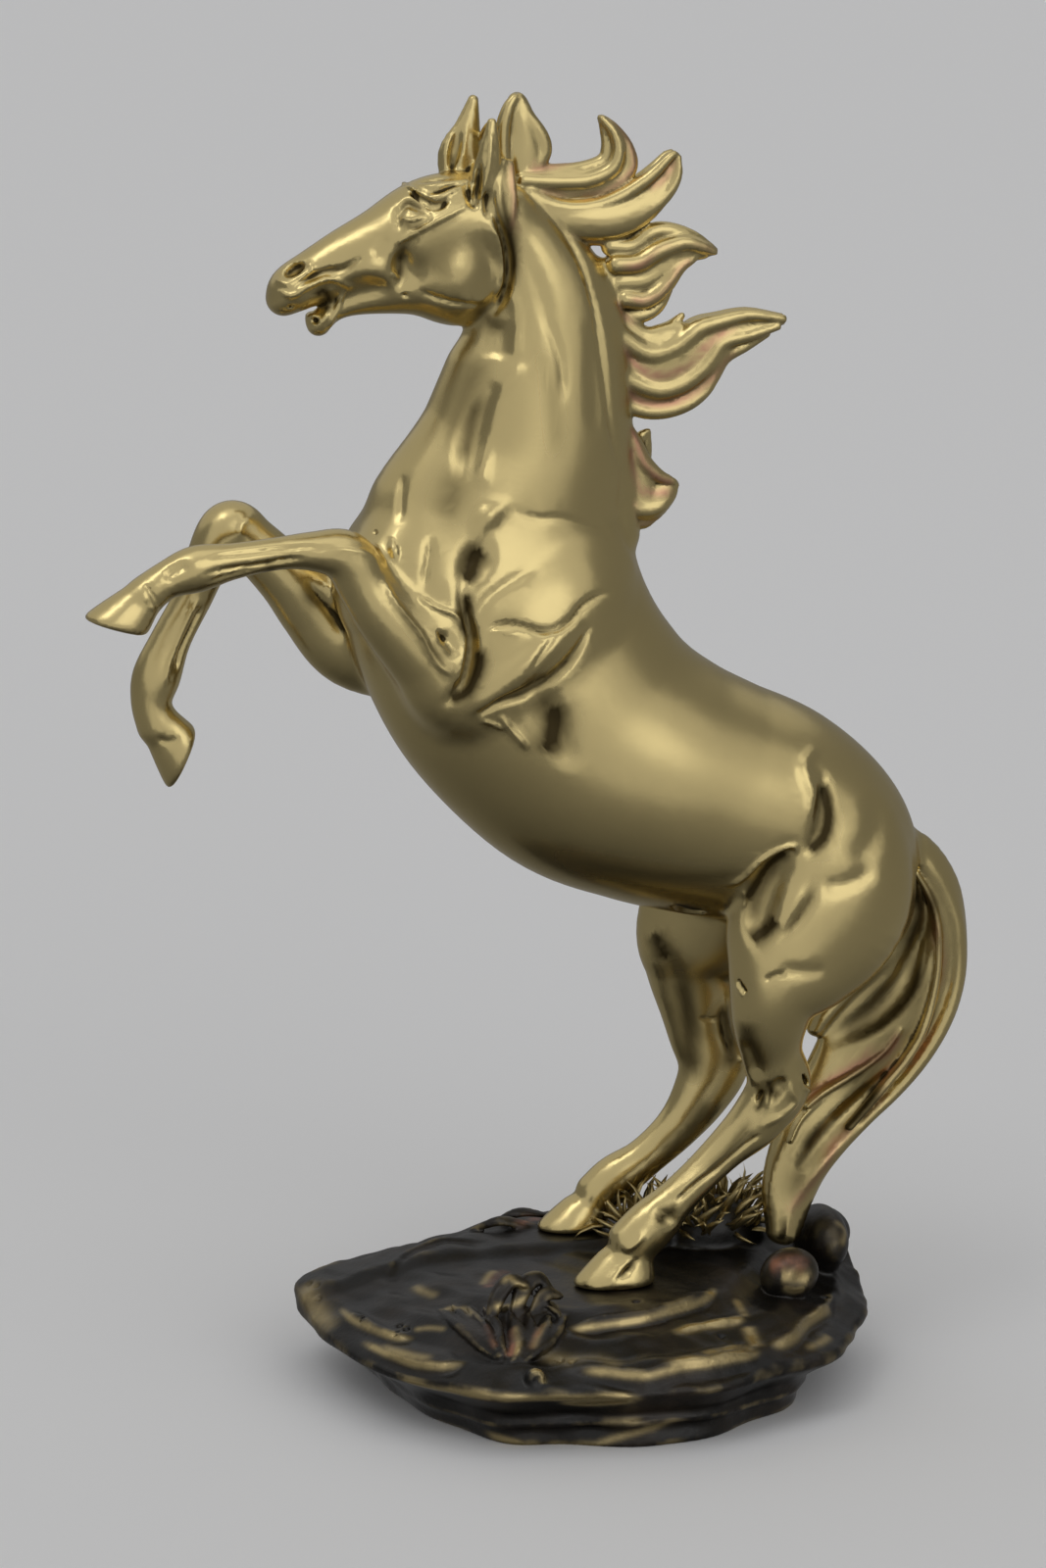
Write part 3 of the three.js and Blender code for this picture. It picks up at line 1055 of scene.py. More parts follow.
@dataclass(frozen=True)
class Patina:
    """Dark brown patina on the rock, rubbed to gold on its edges.

    Args:
        ground: The patina.
        earth: Its lighter brown clouds.
        gold: The rubbed edges.
    """

    ground: Colour = (0.006, 0.005, 0.0035, 1)
    earth: Colour = (0.026, 0.018, 0.011, 1)
    gold: Colour = (0.6, 0.47, 0.23, 1)

    def make(self) -> bpy.types.Material:
        """Builds the material."""
        f = Finish("rock_patina")
        at = f.place()
        cloud = f.noise(at, 60, 5, 0.6)
        grain = f.noise(at, 420, 4, 0.6)
        edge = (0 - f.mask("hollow")).ramped(0.02, 0.12)
        worn = f.noise(at, 140, 3).ramped(0.42, 0.62)
        rubbed = (0.3 * edge * worn + f.mask("rubbed") * (0.8 + 0.5 * worn)).clamped()
        colour = f.mixed(cloud.ramped(0.4, 0.75), self.ground, self.earth)
        colour = f.mixed(rubbed * 0.85, colour, self.gold)
        colour = f.mixed(f.mask("copper") * (0.3 + 0.6 * worn), colour, (0.38, 0.16, 0.09, 1))
        return f.close(
            {
                "Base Color": colour,
                "Metallic": 0.2 + 0.75 * rubbed,
                "Roughness": 0.36 - 0.06 * rubbed + 0.15 * (cloud - 0.5),
                "Normal": f.bumps(grain, 0.0003, 0.5),
            }
        )


SENSOR = 36.0


def direction(azimuth: float, elevation: float) -> np.ndarray:
    """The direction from the object to somewhere round it.

    Args:
        azimuth: Degrees round, 0 in front of the horse's left side.
        elevation: Degrees above the horizon.

    Returns:
        The unit direction.
    """
    a, e = math.radians(azimuth), math.radians(elevation)
    return np.array([math.sin(a) * math.cos(e), -math.cos(a) * math.cos(e), math.sin(e)])


@dataclass(frozen=True)
class Sight:
    """How the photograph sees the horse, in millimetres and in the pixels of its frame.

    Args:
        azimuth: Degrees that the camera stands round from the front of the horse's left side.
        elevation: Degrees above the horizon.
        distance: From the camera to its target.
        target: What the camera looks at.
        lens: Focal length for a 36 mm sensor along the frame's height.
        width: Pixels across the frame.
        height: Pixels down it.
    """

    azimuth: float = -13.0
    elevation: float = 14.0
    distance: float = 1150.0
    target: Point = (-15.0, 0.0, 142.2)
    lens: float = 115.25
    width: int = 1067
    height: int = 1600

    @property
    def back(self) -> np.ndarray:
        """Direction from the target to the camera."""
        return direction(self.azimuth, self.elevation)

    @property
    def eye(self) -> np.ndarray:
        """Where the camera stands."""
        return np.array(self.target) + self.back * self.distance

    def ray(self, spot: Spot) -> np.ndarray:
        """The direction in which the camera sees a drawn point."""
        turn = math.radians(self.azimuth)
        right = np.array([math.cos(turn), math.sin(turn), 0.0])
        up = np.cross(self.back, right)
        focal = self.lens / SENSOR * self.height
        aside = (spot[0] - self.width / 2) / focal
        down = (spot[1] - self.height / 2) / focal
        way = right * aside - up * down - self.back
        return way / np.linalg.norm(way)

    def at_depth(self, spot: Spot, y: float) -> np.ndarray:
        """Where a drawn point lies in the plane at y from the middle plane."""
        way = self.ray(spot)
        return self.eye + way * (y - self.eye[1]) / way[1]


@dataclass
class Studio:
    """A plain pale floor, soft lights and the camera.

    Args:
        sight: The photograph's camera.
        reach: Radius of the floor, in metres.
        paper: The floor's colour.
    """

    sight: Sight = Sight()
    reach: float = 14.0
    paper: Colour = (0.88, 0.88, 0.886, 1)

    def camera(self) -> None:
        """Makes the camera at the photograph's viewing angle."""
        data = bpy.data.cameras.new("camera")
        data.lens = self.sight.lens
        data.sensor_width = SENSOR
        made = bpy.data.objects.new("camera", data)
        made.location = self.sight.eye * MM
        made.rotation_euler = Vector(-self.sight.back).to_track_quat("-Z", "Y").to_euler()
        data.clip_start, data.clip_end = 0.05, 60
        bpy.context.scene.collection.objects.link(made)
        bpy.context.scene.camera = made

    def sun(
        self, name: str, azimuth: float, elevation: float, power: float, spread: float
    ) -> None:
        """Adds a broad, far light.

        Args:
            name: The light's name.
            azimuth: Degrees round.
            elevation: Degrees above the horizon.
            power: Its strength.
            spread: Its width seen from the object, in degrees.
        """
        data = bpy.data.lights.new(name, "SUN")
        data.energy = power
        data.angle = math.radians(spread)
        made = bpy.data.objects.new(name, data)
        toward = Vector(direction(azimuth, elevation))
        made.rotation_euler = toward.to_track_quat("Z", "Y").to_euler()
        bpy.context.scene.collection.objects.link(made)

    def floor(self) -> None:
        """Makes the plain pale floor."""
        data = bpy.data.meshes.new("floor")
        sides = 48
        turns = [n * math.tau / sides for n in range(sides)]
        ring = [(self.reach * math.cos(a), self.reach * math.sin(a), 0) for a in turns]
        data.from_pydata(ring, [], [list(range(sides))])
        made = bpy.data.objects.new("floor", data)
        bpy.context.scene.collection.objects.link(made)
        f = Finish("floor_paper")
        data.materials.append(f.close({"Base Color": self.paper, "Roughness": 0.95}))
        made.visible_glossy = False

    def world(self, levels: Sequence[tuple[float, float]]) -> None:
        """Makes the dim room around the lights, darker below and towards the horizon.

        Args:
            levels: Height of a direction from 0 straight down to 1 straight up, and its brightness.
        """
        world = bpy.data.worlds.new("room")
        world.use_nodes = True
        tree = world.node_tree
        at = tree.nodes.new("ShaderNodeTexCoord")
        split = tree.nodes.new("ShaderNodeSeparateXYZ")
        tree.links.new(at.outputs["Generated"], split.inputs[0])
        height = tree.nodes.new("ShaderNodeMapRange")
        height.inputs["From Min"].default_value = -1.0
        tree.links.new(split.outputs["Z"], height.inputs["Value"])
        ramp = tree.nodes.new("ShaderNodeValToRGB")
        while len(ramp.color_ramp.elements) < len(levels):
            ramp.color_ramp.elements.new(0.5)
        for element, (place, level) in zip(ramp.color_ramp.elements, levels):
            element.position = place
            element.color = (level, level, level, 1)
        tree.links.new(height.outputs[0], ramp.inputs[0])
        tree.links.new(ramp.outputs[0], tree.nodes["Background"].inputs["Color"])
        bpy.context.scene.world = world

    def build(self) -> None:
        """Sets up camera, floor and lights."""
        self.camera()
        self.floor()
        self.world([(0, 0.05), (0.08, 0.11), (0.28, 0.21), (0.5, 0.19), (0.7, 0.19), (1, 0.24)])
        self.sun("front", -5, 35, 0.74, 112)
        self.sun("key", 16, 24, 0.22, 38)
        self.sun("glint", -50, 58, 0.14, 20)
        self.sun("behind", -160, 65, 0.5, 110)
        scene = bpy.context.scene
        scene.view_settings.view_transform = "Standard"


# Trunk, neck and head: x, y, z, half width across the horse, half depth in its plane
TRUNK = [
    (-42, 0, 190, 0.6 * BARREL, 17),
    (-33, 0, 185, 0.76 * BARREL, 25),
    (-17.4, 0, 170.6, 0.93 * BARREL, 32.6),
    (-0.8, 0, 152, BARREL, 32.2),
    (14, 0, 143, 1.02 * BARREL, 30),
    (28, 0, 137.3, 0.98 * BARREL, 28.2),
    (42, 0, 132.4, 0.94 * BARREL, 26.4),
    (54.3, 0, 124.6, 0.88 * BARREL, 23.2),
    (61.6, 0, 116, 0.72 * BARREL, 18),
    (66, 0, 109, 0.5 * BARREL, 12.5),
]
NECK_LINE = [
    (-22, 0, 188, 1.25 * NECK, 33),
    (-19.5, 0, 204, 1.1 * NECK, 30),
    (-14.2, 0, 217, NECK, 23.8),
    (-12, 0, 230, 0.9 * NECK, 21.6),
    (-10.4, 0, 243, 0.8 * NECK, 19),
    (-11, 0, 253.5, 0.73 * NECK, 15),
    (-14.5, 0, 263, 0.66 * NECK, 11.5),
    (-19, 0, 272, 0.58 * NECK, 8.5),
]
# Front of the throat, from under the jaw down to the breast
THROAT = [
    (-26.5, 0, 238, 6, 6),
    (-30.5, 0, 227, 8, 7.2),
    (-34.5, 0, 217, 10, 8),
    (-41, 0, 208.5, 11, 8.5),
]
SKULL = [
    (-23, 0, 272.5, 0.85 * CHEEK, 9),
    (-30, 0, 272, 0.93 * CHEEK, 11),
    (-37, 0, 270, 0.93 * CHEEK, 11.5),
    (-46, 0, 266.3, 0.78 * CHEEK, 9.7),
    (-55, 0, 263.3, 0.6 * CHEEK, 7.9),
    (-62, 0, 260.9, 0.53 * CHEEK, 6.1),
    (-67.2, 0, 258.2, 0.56 * CHEEK, 5.4),
    (-69.4, 0, 256, 0.46 * CHEEK, 4),
]
JAW = [
    (-33, 0, 260, 0.9 * CHEEK, 10),
    (-40, 0, 259, 0.76 * CHEEK, 7.6),
    (-47, 0, 256.6, 0.55 * CHEEK, 4.8),
    (-54, 0, 254.8, 0.4 * CHEEK, 3.2),
    (-58.5, 0, 252.6, 0.34 * CHEEK, 2.3),
    (-61.6, 0, 250, 0.34 * CHEEK, 2.8),
]
NEAR_EAR = [
    (-25, -6, 276, 2.4, 3),
    (-24.9, -6.8, 282, 2.5, 3.3),
    (-24.2, -7.2, 288, 1.9, 2.5),
    (-23.6, -7, 294.6, 0.8, 1),
]
FAR_EAR = [
    (-28.6, 4, 278, 2.6, 3.6),
    (-28.4, 4.5, 285.8, 2.8, 5),
    (-26.6, 4.8, 292, 1.9, 3),
    (-25.2, 5, 298.2, 1.1, 1.2),
]
CREST = [
    (-12, 0, 275, 4.8, 4.5),
    (-5, 0, 264.5, 5, 4.8),
    (2.5, 0, 253, 5.2, 4.8),
    (5, 0, 240, 5.4, 4.6),
    (5.2, 0, 226, 5.8, 4.6),
    (6.2, 0, 212, 6.2, 4.8),
    (7, 0, 200, 6.5, 5),
]
LOCKS = [
    [
        (-13, 0, 276, 1.1 * LOCK, 5.5), (-14.6, 0, 284.5, 1.15 * LOCK, 6), (-15.2, 0, 291, LOCK, 5),
        (-16.4, 0, 296, 0.65 * LOCK, 3), (-16.3, 0, 298.7, 0.4 * LOCK, 1.6),
    ],
    [
        (-14, -1, 279, LOCK, 4.8), (-7, -1, 280.2, LOCK, 4.4), (0.5, -1, 280, 0.95 * LOCK, 4.4),
        (6, -1, 282.4, 0.8 * LOCK, 4.4), (6.7, -1, 287.5, 0.65 * LOCK, 3.4),
        (3.4, -1, 293.4, 0.35 * LOCK, 1.3),
    ],
    [
        (-12, -2, 274, LOCK, 5), (-4, -2.5, 272, LOCK, 4.6), (5, -3, 271.6, 0.95 * LOCK, 5),
        (12.4, -2.5, 274.6, 0.8 * LOCK, 4.3), (17.2, -2, 280, 0.55 * LOCK, 2.9),
        (19.2, -2, 285, 0.3 * LOCK, 1.2),
    ],
    [
        (0, -1, 257, LOCK, 7), (8, -1, 256.4, LOCK, 8), (14, -1.5, 260.4, 0.9 * LOCK, 7.6),
        (20, -2, 264, 0.75 * LOCK, 4.8), (27.8, -2, 264, 0.35 * LOCK, 1.7),
    ],
    [
        (2, -1, 237.5, LOCK, 11), (10, -1.5, 236, 1.1 * LOCK, 10.4), (18, -2, 238.6, 1.15 * LOCK, 10.8),
        (25.4, -2, 241, LOCK, 8.6), (32, -2, 245, 0.8 * LOCK, 4.4), (44.4, -2, 247.6, 0.35 * LOCK, 1.4),
    ],
    [
        (6, -1, 225, LOCK, 3.5), (9, -2, 214.5, LOCK, 5.6), (12.4, -2, 207.4, LOCK, 6),
        (17, -2, 208.8, 0.8 * LOCK, 4), (19.8, -2, 211, 0.35 * LOCK, 1.5),
    ],
    [
        (8, -1, 211, 0.7 * LOCK, 3.4), (12, -1, 216.8, 0.6 * LOCK, 2.9),
        (13.6, -1, 222.8, 0.3 * LOCK, 1.1),
    ],
    [
        (-20.5, -6, 285, 0.45 * LOCK, 1.5), (-21.2, -7.9, 280, 0.45 * LOCK, 2),
        (-20.6, -8.6, 271, 0.2 * LOCK, 0.8),
    ],
]

# Legs, from the body down to the pastern
NEAR_FORE = [
    (-20, -0.86 * FORE_STANCE, 170, 9, 14),
    (-33, -FORE_STANCE, 168.5, 8.8, 10.8),
    (-39.5, -1.05 * FORE_STANCE, 176.5, 8, 9.8),
    (-49, -1.05 * FORE_STANCE, 186, 6.8, 7.4),
    (-54.5, -1.04 * FORE_STANCE, 193.5, 5.8, 6.2),
    (-58.6, -1.03 * FORE_STANCE, 200.2, 5.8, 5.9),
    (-66, -1.02 * FORE_STANCE, 201.7, 5, 4.4),
    (-74, -FORE_STANCE, 201.5, 3.7, 3.7),
    (-84, -FORE_STANCE, 200.2, 3.7, 4.1),
    (-92, -FORE_STANCE, 198.9, 4.6, 5.3),
    (-98.5, -FORE_STANCE, 196.8, 4.1, 4.3),
    (-103.5, -FORE_STANCE, 193.6, 4.4, 4.4),
]
FAR_FORE = [
    (-36, 0.86 * FORE_STANCE, 172, 9, 13),
    (-51, 0.95 * FORE_STANCE, 174, 8.6, 10.5),
    (-59.5, FORE_STANCE, 183, 7.6, 9.4),
    (-66.5, FORE_STANCE, 190, 6.6, 7.2),
    (-74.5, FORE_STANCE, 198, 5.9, 6.3),
    (-79.8, FORE_STANCE, 201.4, 6, 6.8),
    (-85, FORE_STANCE, 194, 5, 5.2),
    (-88.3, FORE_STANCE, 186.5, 3.9, 4.5),
    (-93.5, FORE_STANCE, 177, 3.7, 4.7),
    (-97, FORE_STANCE, 168.5, 4.6, 5.6),
    (-98.4, FORE_STANCE, 162.5, 4.2, 4.6),
    (-97, FORE_STANCE, 157, 4.6, 4.8),
]
NEAR_HIND = [
    (45, -0.46 * HIND_STANCE, 140, 6, 10),
    (51.5, -0.66 * HIND_STANCE, 129, 11.5, 17.5),
    (52, -0.8 * HIND_STANCE, 115, 12.5, 22),
    (45, -0.97 * HIND_STANCE, 103, 10.5, 17.5),
    (40.5, -1.06 * HIND_STANCE, 95, 8.6, 11.3),
    (39.2, -1.06 * HIND_STANCE, 87, 7, 8.8),
    (40, -HIND_STANCE, 79, 5.6, 7.2),
    (42, -0.95 * HIND_STANCE, 71, 5.3, 7.6),
    (37, -0.92 * HIND_STANCE, 63, 4.8, 6.6),
    (29.5, -0.92 * HIND_STANCE, 56.3, 3.9, 5),
    (23, -0.94 * HIND_STANCE, 50.3, 3.7, 4.6),
    (17, -0.96 * HIND_STANCE, 44.8, 4, 4.9),
    (11.5, -0.98 * HIND_STANCE, 39.6, 4.7, 6.2),
    (6.5, -HIND_STANCE, 35.4, 4.7, 6),
]
FAR_HIND = [
    (45, 0.46 * HIND_STANCE, 140, 6, 10),
    (50, 0.66 * HIND_STANCE, 128, 11.5, 17.5),
    (43.5, 0.8 * HIND_STANCE, 114, 12.5, 24.5),
    (33.6, 0.97 * HIND_STANCE, 99, 10, 18.2),
    (31.4, 1.04 * HIND_STANCE, 91, 8.2, 12.6),
    (31.8, 1.03 * HIND_STANCE, 83, 6.8, 10),
    (33, HIND_STANCE, 75, 5.7, 8.6),
    (35.5, 0.95 * HIND_STANCE, 67.5, 5.2, 8.8),
    (32.2, 0.93 * HIND_STANCE, 59.4, 4.7, 7.2),
    (26.4, 0.93 * HIND_STANCE, 51.6, 3.9, 5.6),
    (18.6, 0.95 * HIND_STANCE, 44.6, 3.9, 5),
    (11.8, 0.98 * HIND_STANCE, 39.8, 4.6, 5.9),
    (7, HIND_STANCE, 35.8, 4.6, 5.6),
]
TAIL = [
    (67, 0, 121, 0.9 * TAIL_THICK, 6),
    (76.4, 0, 120, TAIL_THICK, 7.2),
    (82.2, 0.5, 111, TAIL_THICK, 8.6),
    (83, 1, 100, TAIL_THICK, 9.8),
    (78.6, 1.5, 88, TAIL_THICK, 13),
    (70.8, 1, 76, TAIL_THICK, 13.6),
    (62, 0, 63.5, 0.95 * TAIL_THICK, 11.6),
    (53.4, -2, 52.4, 0.85 * TAIL_THICK, 9.2),
    (48.6, -4, 42, 0.75 * TAIL_THICK, 7.4),
    (46.8, -5.5, 31.4, 0.6 * TAIL_THICK, 4.6),
]
SHOULDER = [
    (1, 7.5, 197, 4, 8.5),
    (-5.5, 12, 189.5, 8, 13),
    (-14, 14.6, 181, 9.9, 14.5),
    (-24, 15.2, 172.5, 9.6, 11.5),
    (-30, 15, 166, 7.6, 6.5),
]


@dataclass
class Hoof(Form):
    """A hoof: a sheared, tapering oval block on its flat sole.

    Args:
        sole: Centre of the sole.
        pitch: Degrees that the sole is turned from level.
        half: Half length of the sole.
        wide: Half width of the sole.
        high: Height of the coronet over the sole.
        back: How far the coronet is set back.
    """

    sole: Point
    pitch: float
    half: float
    wide: float
    high: float
    back: float

    def box(self, margin: float) -> tuple[np.ndarray, np.ndarray]:
        """Gives a box that holds the hoof."""
        reach = math.hypot(self.half, 1.6 * self.high) + margin
        return np.array(self.sole) - reach, np.array(self.sole) + reach

    def distance(
        self, x: np.ndarray, y: np.ndarray, z: np.ndarray, margin: float
    ) -> np.ndarray:
        """Gives the distance to the hoof."""
        turn = math.radians(self.pitch)
        px, py, pz = (a - c for a, c in zip((x, y, z), self.sole))
        ahead = -math.cos(turn) * px - math.sin(turn) * pz
        up = -math.sin(turn) * px + math.cos(turn) * pz
        share = np.clip(up / self.high, -0.2, 1.6)
        size = 1 - 0.28 * share - 0.06 * share * share
        run = (ahead + share * self.back) / (self.half * size)
        run = np.where(run < 0, run / 0.94, run)
        side = py / (self.wide * size)
        squared = np.where(run < 0, 2.6, 2.0)
        wall = (np.abs(run) ** squared + np.abs(side) ** squared + 1e-6) ** (
            1 / squared
        )
        wall = (wall - 1) * self.wide * size * 0.9
        lid = np.maximum(-up, up - 1.35 * self.high)
        return -blend_min(-wall, -lid, 1.2)


HOOVES = [
    Hoof((-110.8, -FORE_STANCE, 186.6), -16.6, 7.9, 6, 7.7, 3.8),
    Hoof((-91.2, FORE_STANCE, 148.6), 65.7, 8.4, 5.8, 8.8, 5.4),
    Hoof((2.3, -HIND_STANCE, PLINTH_TOP), 0, 10.6, 6.8, 6.6, 2.6),
    Hoof((0.5, HIND_STANCE, FAR_TOP), 0, 9.4, 6.4, 6, 3.4),
]


class Sides(Enum):
    """Which sides of the horse have a drawn feature."""

    HERE = "where it is drawn"
    BOTH = "there and mirrored on the other side"

    def rows(self, here: Sequence[Station]) -> list[Sequence[Station]]:
        """The stations on each side that has them."""
        if self is Sides.HERE:
            return [here]
        return [here, [(row[0], -row[1], *row[2:]) for row in here]]


HERE, BOTH = Sides.HERE, Sides.BOTH


class Tracing:
    """Lays points drawn on the photograph on a skin."""

    def __init__(self, skin: Skin, sight: Sight) -> None:
        """Prepares the skin.

        Args:
            skin: What the points are laid on.
            sight: The photograph's camera.
        """
        self.tree = BVHTree.FromPolygons(skin.points.tolist(), skin.quads.tolist())
        self.sight = sight

    def laid(self, spot: Spot) -> np.ndarray:
        """Finds a drawn point on the skin, or the skin nearest to it where it falls just beside."""
        eye, way = Vector(self.sight.eye), Vector(self.sight.ray(spot))
        found = self.tree.ray_cast(eye, way)[0]
        if found is None:
            span = 100
            reach = round(self.sight.distance)
            tries = [eye + way * far for far in range(reach - span, reach + span, 2)]
            found = min((self.tree.find_nearest(p) for p in tries), key=lambda hit: hit[3])[0]
        return np.array(found)


def spread(values: float | Sequence[float], count: int) -> np.ndarray:
    """Spreads one value, or a few along a line, over its points.

    Args:
        values: The value or values.
        count: How many points the line has.

    Returns:
        One value per point.
    """
    given = np.atleast_1d(values)
    return np.interp(np.linspace(0, 1, count), np.linspace(0, 1, len(given)), given)


@dataclass(frozen=True)
class Ridge:
    """A belly, fold or rim that stands out of the skin.

    Args:
        name: What it is.
        drawn: Its line on the photograph.
        width: Its half width.
        height: How far it stands out.
        across: Its half thickness, most of it under the skin.
        sides: Which sides have it.
        fillet: How it blends into the skin.
        tapered: Whether it thins out towards both ends.
    """

    name: str
    drawn: Sequence[Spot]
    width: float
    height: float
    across: float
    sides: Sides
    fillet: float
    tapered: bool = True

    def stations(self, tracing: Tracing) -> list[Station]:
        """Lays it on the skin."""
        rows = []
        for n, spot in enumerate(self.drawn):
            x, y, z = tracing.laid(spot)
            bow = math.sin(math.pi * n / (len(self.drawn) - 1))
            full = 0.35 + 0.65 * max(bow, 0) ** 0.7 if self.tapered else 1.0
            across = self.across * max(full, 0.5)
            rows.append((x, y + across - self.height * full, z, across, self.width * full))
        return rows


@dataclass(frozen=True)
class Valley:
    """A valley between two muscles, darkened along its floor with patina and painted shade.

    Args:
        name: What it is.
        drawn: Its line on the photograph.
        width: Its half width, one value or a few along it.
        depth: Its depth, likewise.
        sides: Which sides have it.
        fillet: How softly its edges turn.
    """

    name: str
    drawn: Sequence[Spot]
    width: float | Sequence[float]
    depth: float | Sequence[float]
    sides: Sides
    fillet: float

    def stations(self, tracing: Tracing) -> list[Station]:
        """Lays the tube that carves it on the skin."""
        count = len(self.drawn)
        rows = []
        for n, (wide, deep) in enumerate(zip(spread(self.width, count), spread(self.depth, count))):
            x, y, z = tracing.laid(self.drawn[n])
            full = min(1.0, 0.35 + 1.08 * math.sin(math.pi * n / (count - 1)))
            wide, deep = wide * max(full, 0.5), deep * full
            across = 1.3 * max(wide, deep)
            rows.append((x, y - across + deep, z, across, wide))
        return rows


@dataclass(frozen=True)
class Pit:
    """A small hollow, such as a nostril.

    Args:
        name: What it is.
        drawn: Its place on the photograph.
        sizes: Half sizes along, across and deep.
        pitch: Degrees that its long axis rises.
        sides: Which sides have it.
        inset: How far its middle lies under the skin.
        fillet: How softly its edge turns.
    """

    name: str
    drawn: Spot
    sizes: Point
    pitch: float
    sides: Sides
    inset: float
    fillet: float

    def stations(self, tracing: Tracing) -> list[Station]:
        """Lays its middle on the skin."""
        x, y, z = tracing.laid(self.drawn)
        return [(x, y + self.inset, z)]


@dataclass(frozen=True)
class Line:
    """A fine groove, a fine ridge where its depth is negative, or a painted line.

    Args:
        name: What it is.
        drawn: Its line on the photograph.
        depth: Its depth, or how strong its paint is.
        width: Its half width.
        sides: Which sides have it.
        taper: Share of its length over which each end fades out.
    """

    name: str
    drawn: Sequence[Spot]
    depth: float
    width: float
    sides: Sides
    taper: float = 0.3

    def stations(self, tracing: Tracing) -> list[Station]:
        """Lays it on the skin."""
        return [tuple(tracing.laid(spot)) for spot in self.drawn]

    def painted(self, tracing: Tracing) -> Stroke:
        """Lays it closely on a finished skin, as paint."""
        close = curve_through(np.array(self.drawn, float), 3)
        path = [tuple(tracing.laid(spot)) for spot in close]
        return Stroke(path, self.depth, self.width, self.taper, held=True)


@dataclass(frozen=True)
class Ledge:
    """A lip of the rock, with a drop before it.

    Args:
        name: Where it is.
        line: Its points with the rise on their left, drawn on the photograph or seen from above.
        lift: How far the lip rises and its foot drops.
        fade: Reach of the rise.
    """

    name: str
    line: Sequence[Spot]
    lift: float
    fade: float

    def plan(self, tracing: Tracing) -> np.ndarray:
        """Lays a drawn one on the rock, and gives its line seen from above."""
        return np.array([tracing.laid(spot)[:2] for spot in self.line])


@dataclass(frozen=True)
class Strand:
    """A strand of the mane.

    Args:
        name: The lock that it belongs to.
        drawn: Its line on the photograph.
        aside: Its distance from the middle plane, one value or a few along it.
        root: Its half thickness up to its middle.
        tip: Its half thickness at the tip.
    """

    name: str
    drawn: Sequence[Spot]
    aside: float | Sequence[float]
    root: float
    tip: float

    def stations(self, sight: Sight) -> list[Station]:
        """Places it beside the middle plane."""
        count = len(self.drawn)
        rows = []
        for n, y in enumerate(spread(self.aside, count)):
            share = n / (count - 1)
            thick = self.root + (self.tip - self.root) * max(0, (share - 0.45) / 0.55) ** 1.3
            across = thick * (0.97 if share < 0.9 else 0.78)
            rows.append((*sight.at_depth(self.drawn[n], y), across, thick))
        return rows


@dataclass(frozen=True)
class Band:
    """A band of the tail's hair, or a hollow between two.

    Args:
        name: What it is.
        drawn: Its line on the photograph.
        aside: Its distance from the tail's own middle.
        across: Its half thickness across the horse, a few values along it.
        deep: Its half width in the tail's plane, likewise.
        sides: Which sides of the tail have it.
        fillet: How it blends into the tail.
    """

    name: str
    drawn: Sequence[Spot]
    aside: float
    across: float | Sequence[float]
    deep: float | Sequence[float]
    sides: Sides
    fillet: float

    def stations(self, sight: Sight) -> list[list[Station]]:
        """Places it beside the tail's middle, once for each side that has it."""
        heights = [row[2] for row in reversed(TAIL)]
        middles = [row[1] for row in reversed(TAIL)]
        count = len(self.drawn)
        near, far = [], []
        for spot, wide, thick in zip(self.drawn, spread(self.across, count), spread(self.deep, count)):
            y = self.aside
            for _ in range(3):
                x, _, z = sight.at_depth(spot, y)
                middle = np.interp(z, heights, middles)
                aside = self.aside * (0.72 if z < 45 else 1.0)
                y = middle + aside
            near.append((x, middle + aside, z, wide, thick))
            far.append((x, middle - aside, z, wide, thick))
        return [near] if self.sides is Sides.HERE else [near, far]


